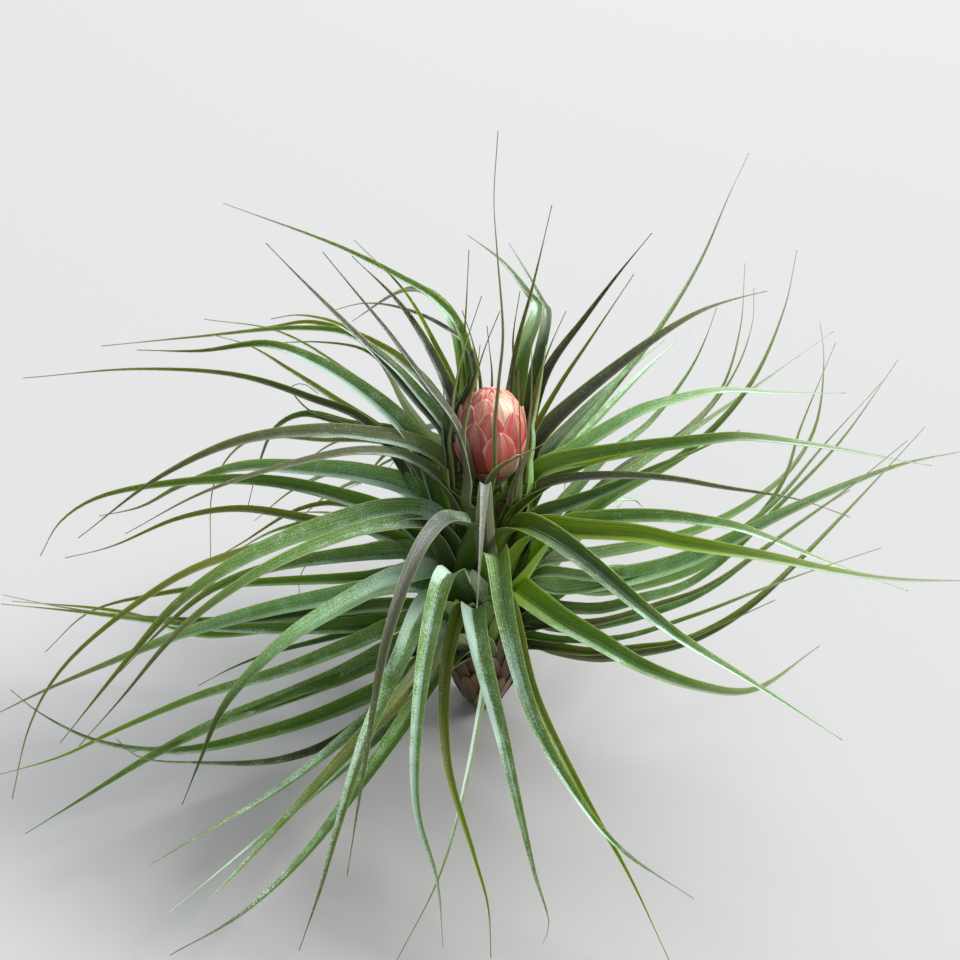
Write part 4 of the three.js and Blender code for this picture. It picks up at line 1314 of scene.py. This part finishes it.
@dataclass(frozen=True)
class Bud:
    """The flower bud: an egg and the pointed bracts that lap over it.

    Colours are display shares. A band is where a smooth step starts and where it ends: of
    the share of the bud's height, of the share along a bract, or of the share across it.

    Args:
        rings: Rings along a bract.
        places: Places across its upper side and across its underside.
        thickness: Of a bract, in millimetres.
        lift: How far it stands off the egg at the foot, and two gains toward the tip.
        hug: How much closer its edges lie at the foot.
        keel: Height of the ridge along its middle.
        keel_half: Half width of that ridge, as a share across.
        girth: What the radius gains where the bracts lie, for their width.
        flatter: How much less the bracts stand off at the very top, as a share.
        core_grid: Rings up the egg and places round each.
        core_ends: Radians left open at its foot and at its top.
        core_depth: How far it lies under the bracts' own egg.
        core_scales: Its share of pale scales.
        maroon: Colour of a bract of warmth_and_light 0.
        coral: Colour of warmth_and_light 0.5, and of the egg.
        cream: Colour of warmth_and_light 1, and of the keels.
        olive: Colour toward the bud's foot, partly the bracts' own and partly painted shade.
        pink: Colour of the rims.
        shade: Factor of a bract's colour at its foot, and what it gains toward the tip.
        pale_half: Half width of the pale keel, partly a painted highlight, as a share across.
        map_length: Length along that the bud's whole height counts for.
        crown_band: Height over which the bracts close at the top.
        olive_shade_band: Height below which olive, partly painted shade, comes in.
        rim_height: Height above which rims and frost show.
        blush_band: Along a bract, where coral comes in.
        keel_band: Along a bract, where the pale keel comes in.
        frost_band: Along a bract, where the frost of its tip comes in.
        rim_band: Across a bract, where the rim comes in.
        most_olive_shade: Olive's share at most.
        most_blush: Coral's share at most.
        most_keel: Cream's share at most.
        most_pink: Pink's share at most.
        frost: Share of pale scales everywhere, what a rim adds and what a tip adds.
        pieces: Names of the pieces, from the lowest bracts to the highest.
    """

    rings: int = 22
    places: tuple[int, int] = (13, 7)
    thickness: float = 0.55
    lift: Triple = (0.15, 0.75, 0.55)
    hug: float = 0.35
    keel: float = 0.35
    keel_half: float = 0.16
    girth: float = 1.2
    flatter: float = 0.75
    core_grid: tuple[int, int] = (24, 40)
    core_ends: Pair = (0.12, 0.05)
    core_depth: float = 0.1
    core_scales: float = 0.2
    maroon: Triple = (0.38, 0.07, 0.05)
    coral: Triple = (0.82, 0.30, 0.29)
    cream: Triple = (1.0, 0.87, 0.74)
    olive: Triple = (0.46, 0.31, 0.10)
    pink: Triple = (0.93, 0.60, 0.52)
    shade: Pair = (0.85, 0.25)
    pale_half: float = 0.35
    map_length: float = 30.0
    crown_band: Pair = (0.80, 1.0)
    olive_shade_band: Pair = (0.50, 0.06)
    rim_height: Pair = (0.24, 0.44)
    blush_band: Pair = (0.45, 0.95)
    keel_band: Pair = (0.45, 1.0)
    frost_band: Pair = (0.55, 1.0)
    rim_band: Pair = (0.72, 1.0)
    most_olive_shade: float = 0.75
    most_blush: float = 0.25
    most_keel: float = 0.35
    most_pink: float = 0.45
    frost: Triple = (0.12, 0.5, 0.35)
    pieces: tuple[str, ...] = ("lower_bracts", "middle_bracts", "upper_bracts")

    def core(self, maker: Maker) -> bpy.types.Object:
        """The egg inside, a little deeper than the bracts' feet and in their own red.

        Args:
            maker: What makes the piece.

        Returns:
            The piece.
        """
        rings, places = self.core_grid
        low, high = self.core_ends
        share = (1 - np.cos(np.linspace(low, math.pi - high, rings)))[:, None] / 2
        turn = np.linspace(0.0, 2 * math.pi, places, endpoint=False)[None, :]
        points = EGG.point(share, turn, -self.core_depth)
        tone = np.broadcast_to(to_linear(np.array(self.coral)), points.shape).copy()
        place = layers(0 * turn, share * self.map_length, 1.0)
        scales = np.full(points.shape[:2], self.core_scales)
        return maker.build("bud_core", [Skin(points, tone, place, scales)])

    def bract(self, bearing: float, foot: float, tip: float, width: float, warmth_and_light: float) -> Skin:
        """One bract: a pointed patch of the egg with a raised keel and a lifted tip.

        At the share s of its length its width is 1 - s^4 to the power 0.8, a little wider
        toward the tip. It stands off the egg by the sum of its lifts, times 1, s and s^5, less
        t^2 (1 - s) times the hug, and the keel is a bell curve of t.

        Args:
            bearing: Bearing of its middle line, in radians.
            foot: Share of the egg's height where it starts.
            tip: The share where it ends.
            width: Widest measure across.
            warmth_and_light: 0 for maroon, 1 for cream; partly the bract's own colour, partly
                painted light.

        Returns:
            The skin.
        """
        s = np.linspace(0.0, 1.0, self.rings)[:, None]
        t, above = ring_places(*self.places)
        share = foot + (tip - foot) * s
        least = 0.02
        half = np.maximum(least, 0.5 * width * (1.0 - s**4) ** 0.8 * (0.9 + 0.25 * s))
        angle = bearing + half * t / (EGG.radius_at(share) + self.girth)
        ridge = self.keel * np.exp(-((t / self.keel_half) ** 2)) * (0.4 + 0.6 * s)
        crown = 1.0 - self.flatter * smooth_step(*self.crown_band, share)
        foot_out, rise, tip_rise = self.lift
        out = foot_out + rise * s + tip_rise * s**5 - self.hug * t * t * (1 - s) + ridge
        out = out * crown
        out = out - np.where(above > 0, 0.0, self.thickness)
        tone, frost = self.colours(t, s, share, warmth_and_light)
        place = layers(t, share * self.map_length, above)
        return Skin(EGG.point(share, angle, out), tone, place, frost)

    def colours(self, t: Array, s: Array, share: Array, warmth_and_light: float) -> tuple[Array, Array]:
        """Colour and frost of a bract.

        The body is between maroon, coral and cream by its warmth_and_light, which holds painted
        light, and lighter toward its tip.
        Coral, a cream keel that is partly painted highlight, olive at the bud's foot that is
        partly painted shade, and pink rims are then laid over it.

        Args:
            t: Shares across, round a ring.
            s: Share of the bract's length at each ring.
            share: Share of the bud's height at each ring.
            warmth_and_light: 0 for maroon, 1 for cream; partly the bract's own colour, partly
                painted light.

        Returns:
            Colours as light, and shares of pale scales.
        """
        names = np.array([self.maroon, self.coral, self.cream, self.olive, self.pink])
        maroon, coral, cream, olive, pink = to_linear(names)
        # Painted light: bracts on the left lean to maroon as painted shade, those on the right to
        # cream as painted highlight.
        past = 2 * warmth_and_light - 1
        tone = maroon * max(0.0, 1 - 2 * warmth_and_light) + coral * (1 - abs(past)) + cream * max(0.0, past)
        darkest, lighter = self.shade
        tone = tone * (darkest + lighter * s[..., None])
        high = smooth_step(*self.rim_height, share)
        edge = smooth_step(*self.rim_band, np.abs(t))
        # The pale keel is partly the bract's own cream and partly a painted highlight on the
        # raised ridge.
        keel = np.exp(-((t / self.pale_half) ** 2)) * smooth_step(*self.keel_band, s)
        for colour, amount in (
            (coral, self.most_blush * smooth_step(*self.blush_band, s) * (1 - keel)),
            (cream, self.most_keel * keel),
            # Olive low on the bud: partly the bracts' own colour, partly painted shade among the
            # leaves.
            (olive, self.most_olive_shade * smooth_step(*self.olive_shade_band, share)),
            (pink, self.most_pink * edge * high),
        ):
            tone = tone * (1 - amount[..., None]) + colour * amount[..., None]
        least, at_rim, at_tip = self.frost
        frost = least + at_rim * edge * high + at_tip * smooth_step(*self.frost_band, s) * high
        return tone, frost

    def build(self, maker: Maker) -> list[bpy.types.Object]:
        """The egg, then the bracts in pieces from the lowest to the highest.

        Args:
            maker: What makes the pieces.

        Returns:
            The pieces.
        """
        pieces = [self.core(maker)]
        skins = [self.bract(math.radians(row[0]), *row[1:]) for row in BRACTS]
        each = len(skins) // len(self.pieces)
        for k, name in enumerate(self.pieces):
            pieces.append(maker.build(name, skins[each * k : each * (k + 1)]))
        return pieces


@dataclass(frozen=True)
class Wiring:
    """A node tree and short ways to add to it."""

    tree: bpy.types.NodeTree

    def fill(self, node: bpy.types.Node, feeds: Feeds) -> bpy.types.Node:
        """Fills inputs of a node.

        Args:
            node: The node.
            feeds: What its inputs get, by their names or numbers: an output or a constant.

        Returns:
            The node.
        """
        for key, value in feeds.items():
            if isinstance(value, bpy.types.NodeSocket):
                self.tree.links.new(value, node.inputs[key])
            else:
                node.inputs[key].default_value = value
        return node

    def node(self, kind: str, feeds: Feeds | None = None, **settings: object) -> bpy.types.Node:
        """A new node.

        Args:
            kind: Its type.
            feeds: What its inputs get, as in fill.
            settings: Its own settings.

        Returns:
            The node.
        """
        made = self.tree.nodes.new(kind)
        for key, value in settings.items():
            setattr(made, key, value)
        return self.fill(made, feeds or {})

    def maths(self, operation: str, *values: object) -> bpy.types.NodeSocket:
        """A Math node's output."""
        feeds = dict(enumerate(values))
        return self.node("ShaderNodeMath", feeds, operation=operation).outputs[0]

    def weighed(
        self, first: object, share: float, second: object, other: float
    ) -> bpy.types.NodeSocket:
        """The sum of two outputs, each times its share."""
        parts = (self.maths("MULTIPLY", first, share), self.maths("MULTIPLY", second, other))
        return self.maths("ADD", *parts)

    def step(self, value: object, low: float, high: float) -> bpy.types.NodeSocket:
        """Rises smoothly from 0 where value is low to 1 where it is high."""
        feeds = {"Value": value, "From Min": low, "From Max": high}
        return self.node("ShaderNodeMapRange", feeds, interpolation_type="SMOOTHSTEP").outputs[0]

    def blend(
        self, factor: object, first: object, second: object, way: str = "MIX"
    ) -> bpy.types.NodeSocket:
        """A colour mix."""
        feeds = {0: factor, 6: first, 7: second}
        return self.node("ShaderNodeMix", feeds, data_type="RGBA", blend_type=way).outputs[2]

    def noise(self, vector: object, scale: object, detail: float) -> bpy.types.NodeSocket:
        """A noise texture's value."""
        feeds = {"Vector": vector, "Scale": scale, "Detail": detail}
        return self.node("ShaderNodeTexNoise", feeds).outputs[0]


@dataclass(frozen=True)
class Effects:
    """Shader node groups that the finishes share. They put out only masks and heights.

    Args:
        line_edges: Noise between which a loose line turns from dark to pale.
        line_share: Part of the loose lines.
        vein_share: Part of the even veins.
        patch_scale: Noise scale of the patches beside that of the grain.
        grain_share: Part of the grain.
        patch_share: Part of the patches.
        bare: Height above which a scale shows where Amount is 0.
        covered: How far an Amount of 1 lowers it.
        soft: Half width of a scale's soft edge.
    """

    line_edges: Pair = (0.34, 0.66)
    line_share: float = 0.55
    vein_share: float = 0.45
    patch_scale: float = 0.07
    grain_share: float = 0.75
    patch_share: float = 0.25
    bare: float = 0.78
    covered: float = 0.42
    soft: float = 0.15

    @staticmethod
    def _group(name: str, inputs: str, outputs: str) -> tuple[Wiring, bpy.types.Node]:
        """An empty group with a vector input named Place and some number sockets.

        Args:
            name: The group's name.
            inputs: Names of its other inputs.
            outputs: Names of its outputs.

        Returns:
            Its wiring and its input node.
        """
        group = bpy.data.node_groups.new(name, "ShaderNodeTree")
        group.interface.new_socket("Place", in_out="INPUT", socket_type="NodeSocketVector")
        for way, names in (("INPUT", inputs), ("OUTPUT", outputs)):
            for key in names.split():
                group.interface.new_socket(key, in_out=way, socket_type="NodeSocketFloat")
        wiring = Wiring(group)
        return wiring, wiring.node("NodeGroupInput")

    def lines(self) -> bpy.types.NodeTree:
        """Fine lengthwise lines: noise stretched along the blade, and even veins that it bends.

        Returns:
            The group.
        """
        wiring, given = self._group("lengthwise_lines", "Across Along Veins", "Lines")
        apart = wiring.node("ShaderNodeSeparateXYZ", {0: given.outputs["Place"]}).outputs
        stretched = {
            0: wiring.maths("MULTIPLY", apart[0], given.outputs["Across"]),
            1: wiring.maths("MULTIPLY", apart[1], given.outputs["Along"]),
            2: apart[2],
        }
        noise = wiring.noise(wiring.node("ShaderNodeCombineXYZ", stretched).outputs[0], 1.0, 3.0)
        loose = wiring.step(noise, *self.line_edges)
        phase = wiring.maths("MULTIPLY_ADD", apart[0], given.outputs["Veins"], noise)
        veins = wiring.maths("MULTIPLY_ADD", wiring.maths("SINE", phase), 0.5, 0.5)
        mixed = wiring.weighed(loose, self.line_share, veins, self.vein_share)
        wiring.node("NodeGroupOutput", {"Lines": mixed})
        return wiring.tree

    def scales(self) -> bpy.types.NodeTree:
        """Pale leaf scales: fine grain, patchy at a coarser size, kept where Amount is high.

        Returns:
            The group.
        """
        wiring, given = self._group("pale_scales", "Amount Grain", "Mask Height")
        place, size = given.outputs["Place"], given.outputs["Grain"]
        fine = wiring.noise(place, size, 2.0)
        coarse = wiring.noise(place, wiring.maths("MULTIPLY", size, self.patch_scale), 2.0)
        grain = wiring.weighed(fine, self.grain_share, coarse, self.patch_share)
        lowered = wiring.maths("MULTIPLY", given.outputs["Amount"], self.covered)
        raised = wiring.maths("SUBTRACT", grain, wiring.maths("SUBTRACT", self.bare, lowered))
        mask = wiring.step(raised, -self.soft, self.soft)
        wiring.node("NodeGroupOutput", {"Mask": mask, "Height": grain})
        return wiring.tree


@dataclass(frozen=True)
class Finish:
    """A living or dry skin, coloured by the piece's own tone.

    Args:
        name: The material's name.
        frost: Colour of the pale scales, as display shares.
        frost_cover: How far a scale hides the tone beneath.
        grain: Size of the scales, as noise scale on metres.
        line_depth: How dark the lines are.
        line_across: Lines over the half width.
        roughness: Of the bare skin; scales add to it.
        sheen: Strength of the soft glow of the scales.
        edge: Colour of the thin margin, as display shares, and how strong it is; the leaves' pale
            lime margin is a painted glow of light shining through their thin edge.
        relief: Height of lines and scales in millimetres.
        gloss: Strength of the skin's reflection; 0.5 is that of plain wax.
        glow: Share of the light that wanders inside the skin.
        veins: Radians of the even veins over the half width.
        line_along: Noise steps of the lines for each millimetre along.
        groove_shade: Half width of the painted shade along the fold in the middle, as a share
            across.
        groove_shade_tone: What that painted shade leaves of the colour.
        margin: Share across where the margin starts.
        scale_roughness: What the scales add to the roughness.
        sheen_roughness: Softness of their glow.
        glow_radius: How much farther each of red, green and blue wanders.
        glow_depth: How far the light wanders, in millimetres.
        heights: Parts of the lines and of the scales in the relief.
        bump: Strength of the relief.
    """

    name: str
    frost: Triple
    frost_cover: float
    grain: float
    line_depth: float
    line_across: float
    roughness: float
    sheen: float
    edge: tuple[float, float, float, float]
    relief: float
    gloss: float = 0.45
    glow: float = 0.0
    veins: float = 22.0
    line_along: float = 0.02
    groove_shade: float = 0.16
    groove_shade_tone: float = 0.72
    margin: float = 0.93
    scale_roughness: float = 0.06
    sheen_roughness: float = 0.4
    glow_radius: Triple = (1.0, 1.3, 0.25)
    glow_depth: float = 1.6
    heights: Pair = (0.6, 0.8)
    bump: float = 0.6

    def build(self, lines: bpy.types.NodeTree, scales: bpy.types.NodeTree) -> bpy.types.Material:
        """Makes the material: tone, darker lines and a painted shade along the middle, a pale
        margin, then the scales.

        Args:
            lines: Group of the lengthwise lines.
            scales: Group of the pale scales.

        Returns:
            The material.
        """
        material = bpy.data.materials.new(self.name)
        material.use_nodes = True
        wiring = Wiring(material.node_tree)
        tone, place, amount = (
            wiring.node("ShaderNodeAttribute", attribute_name=name).outputs[output]
            for name, output in (("tone", "Color"), ("place", "Vector"), ("scales", "Fac"))
        )
        feeds = {"Place": place, "Across": self.line_across, "Along": self.line_along}
        feeds["Veins"] = self.veins
        line = wiring.node("ShaderNodeGroup", feeds, node_tree=lines).outputs["Lines"]
        where = wiring.node("ShaderNodeTexCoord").outputs["Object"]
        feeds = {"Place": where, "Amount": amount, "Grain": self.grain}
        scale = wiring.node("ShaderNodeGroup", feeds, node_tree=scales).outputs
        apart = wiring.node("ShaderNodeSeparateXYZ", {0: place})
        across = wiring.maths("ABSOLUTE", apart.outputs[0])
        shade = wiring.maths("MULTIPLY_ADD", line, self.line_depth, 1.0 - 0.5 * self.line_depth)
        # Painted shade: a dark line along the middle, where a leaf's channel folds.
        out = wiring.step(across, 0.0, self.groove_shade)
        groove_shade = wiring.maths("MULTIPLY_ADD", out, 1.0 - self.groove_shade_tone, self.groove_shade_tone)
        dark = wiring.maths("MULTIPLY", shade, groove_shade)
        grey = wiring.node("ShaderNodeCombineColor", {0: dark, 1: dark, 2: dark}).outputs[0]
        lined = wiring.blend(1.0, tone, grey, "MULTIPLY")
        # On the leaves the margin is a painted glow, light shining through the thin edge; on the
        # bracts and sheaths it is their rim colour.
        margin = wiring.maths("MULTIPLY", wiring.step(across, self.margin, 1.0), self.edge[3])
        edge, frost = ((*to_linear(np.array(c[:3])), 1.0) for c in (self.edge, self.frost))
        edged = wiring.blend(margin, lined, edge)
        cover = wiring.maths("MULTIPLY", scale["Mask"], self.frost_cover)
        relief = {
            "Strength": self.bump,
            "Distance": self.relief * SCALE,
            "Height": wiring.weighed(line, self.heights[0], scale["Height"], self.heights[1]),
        }
        rough = wiring.maths("MULTIPLY_ADD", scale["Mask"], self.scale_roughness, self.roughness)
        wiring.fill(material.node_tree.nodes["Principled BSDF"], {
            "Base Color": wiring.blend(cover, edged, frost),
            "Roughness": rough,
            "Sheen Weight": self.sheen,
            "Sheen Roughness": self.sheen_roughness,
            "Specular IOR Level": self.gloss,
            "Subsurface Weight": self.glow,
            "Subsurface Radius": self.glow_radius,
            "Subsurface Scale": self.glow_depth * SCALE,
            "Normal": wiring.node("ShaderNodeBump", relief).outputs[0],
        })
        return material


# The leaves' pale lime edge is a painted glow of light shining through the thin margin.
LEAF_SKIN = Finish(
    "leaf_skin", frost=(0.86, 1.0, 0.94), frost_cover=0.72, grain=3400.0, line_depth=0.55,
    line_across=6.0, roughness=0.34, sheen=0.10, edge=(0.80, 0.86, 0.66, 0.60), relief=0.60,
    gloss=0.50, glow=0.20, veins=30.0,
)
BRACT_SKIN = Finish(
    "bract_skin", frost=(1.0, 0.90, 0.84), frost_cover=0.42, grain=3800.0, line_depth=0.14,
    line_across=3.0, roughness=0.32, sheen=0.20, edge=(0.85, 0.45, 0.42, 0.25), relief=0.25,
)
DRY_SKIN = Finish(
    "dry_skin", frost=(0.80, 0.74, 0.64), frost_cover=0.3, grain=1200.0, line_depth=0.60,
    line_across=6.0, roughness=0.7, sheen=0.1, edge=(0.55, 0.46, 0.34, 0.3), relief=0.35,
)


@dataclass(frozen=True)
class Lamp:
    """A distant soft light, even over the whole floor.

    Args:
        name: The lamp's name.
        toward: Direction from the plant to the light.
        spread: Its width in the sky, in degrees.
        power: Watts on a square metre.
        tint: Its colour.
    """

    name: str
    toward: Triple
    spread: float
    power: float
    tint: Triple

    def build(self) -> None:
        """Makes the lamp and turns it so that its light comes from its direction."""
        data = bpy.data.lights.new(self.name, "SUN")
        data.energy, data.angle, data.color = self.power, math.radians(self.spread), self.tint
        lamp = bpy.data.objects.new(self.name, data)
        x, y, z = self.toward
        length = float(np.linalg.norm(self.toward))
        lamp.rotation_euler = (math.acos(z / length), 0.0, math.atan2(y, x) + math.pi / 2)
        bpy.context.scene.collection.objects.link(lamp)


# A strong window at the upper right, bright sky from behind, and a weak room from the front.
LAMPS = (
    Lamp("window", (0.95, 0.20, 0.68), 24.0, 4.45, (1.0, 0.985, 0.95)),
    Lamp("skylight", (0.10, 0.75, 0.75), 34.0, 2.85, (0.98, 1.0, 1.0)),
    Lamp("room", (-0.10, -0.80, 0.60), 40.0, 0.42, (1.0, 1.0, 1.0)),
)


@dataclass(frozen=True)
class Studio:
    """A pale floor, soft lamps, a pale sky and the camera.

    Args:
        floor_size: Side of the floor in metres.
        floor_tone: Its colour as light.
        floor_roughness: Its roughness.
        sky_tone: Colour of the sky as light.
        sky_power: Strength of the sky.
        sensor: Width of the picture in the camera, in millimetres.
        clip: Nearest and farthest distance that the camera shows, in metres.
    """

    floor_size: float = 8.0
    floor_tone: Triple = (0.42, 0.42, 0.43)
    floor_roughness: float = 0.9
    sky_tone: Triple = (0.97, 0.98, 1.0)
    sky_power: float = 0.30
    sensor: float = 36.0
    clip: Pair = (0.01, 20.0)

    def floor(self) -> None:
        """A plain floor at height 0."""
        side = self.floor_size / 2
        mesh = bpy.data.meshes.new("floor")
        corners = [(-side, -side, 0), (side, -side, 0), (side, side, 0), (-side, side, 0)]
        mesh.from_pydata(corners, [], [(0, 1, 2, 3)])
        material = bpy.data.materials.new("floor_paint")
        material.use_nodes = True
        paint = {"Base Color": (*self.floor_tone, 1.0), "Roughness": self.floor_roughness}
        Wiring(material.node_tree).fill(material.node_tree.nodes["Principled BSDF"], paint)
        mesh.materials.append(material)
        floor = bpy.data.objects.new("floor", mesh)
        bpy.context.scene.collection.objects.link(floor)

    def sky(self) -> None:
        """An even, pale sky."""
        world = bpy.data.worlds.new("pale_sky")
        world.use_nodes = True
        light = {"Color": (*self.sky_tone, 1.0), "Strength": self.sky_power}
        Wiring(world.node_tree).fill(world.node_tree.nodes["Background"], light)
        bpy.context.scene.world = world

    def camera(self) -> None:
        """The camera of the picture: its lens follows from the focal length in pixels."""
        data = bpy.data.cameras.new("camera")
        data.sensor_width = self.sensor
        data.lens = self.sensor * VIEW.focal_px / (2 * VIEW.centre_px)
        camera = bpy.data.objects.new("camera", data)
        camera.location = [value * SCALE for value in VIEW.eye]
        camera.rotation_euler = (math.radians(90.0 - VIEW.pitch), 0.0, 0.0)
        data.clip_start, data.clip_end = self.clip
        bpy.context.scene.collection.objects.link(camera)
        bpy.context.scene.camera = camera

    def build(self) -> None:
        """Sets the stage."""
        self.floor()
        for lamp in LAMPS:
            lamp.build()
        self.sky()
        self.camera()
        bpy.context.scene.view_settings.view_transform = "Standard"


def main() -> None:
    """Builds the plant and its stage in order."""
    logging.basicConfig(level=logging.INFO, format="%(name)s %(message)s")
    effects = Effects()
    groups = (effects.lines(), effects.scales())
    leaf_maker = Maker("leaf", "leafy_stem", LEAF_SKIN.build(*groups))
    dry_maker = Maker("leaf", "leafy_stem", DRY_SKIN.build(*groups))
    bract_maker = Maker("bract", "flower_head", BRACT_SKIN.build(*groups))
    Rosette().build(leaf_maker)
    heart = Heart()
    heart.stem(leaf_maker)
    heart.wrap(leaf_maker, LEAF_BASES)
    heart.wrap(dry_maker, DRY_SHEATHS)
    Bud().build(bract_maker)
    Studio().build()


if __name__ == "__main__":
    main()
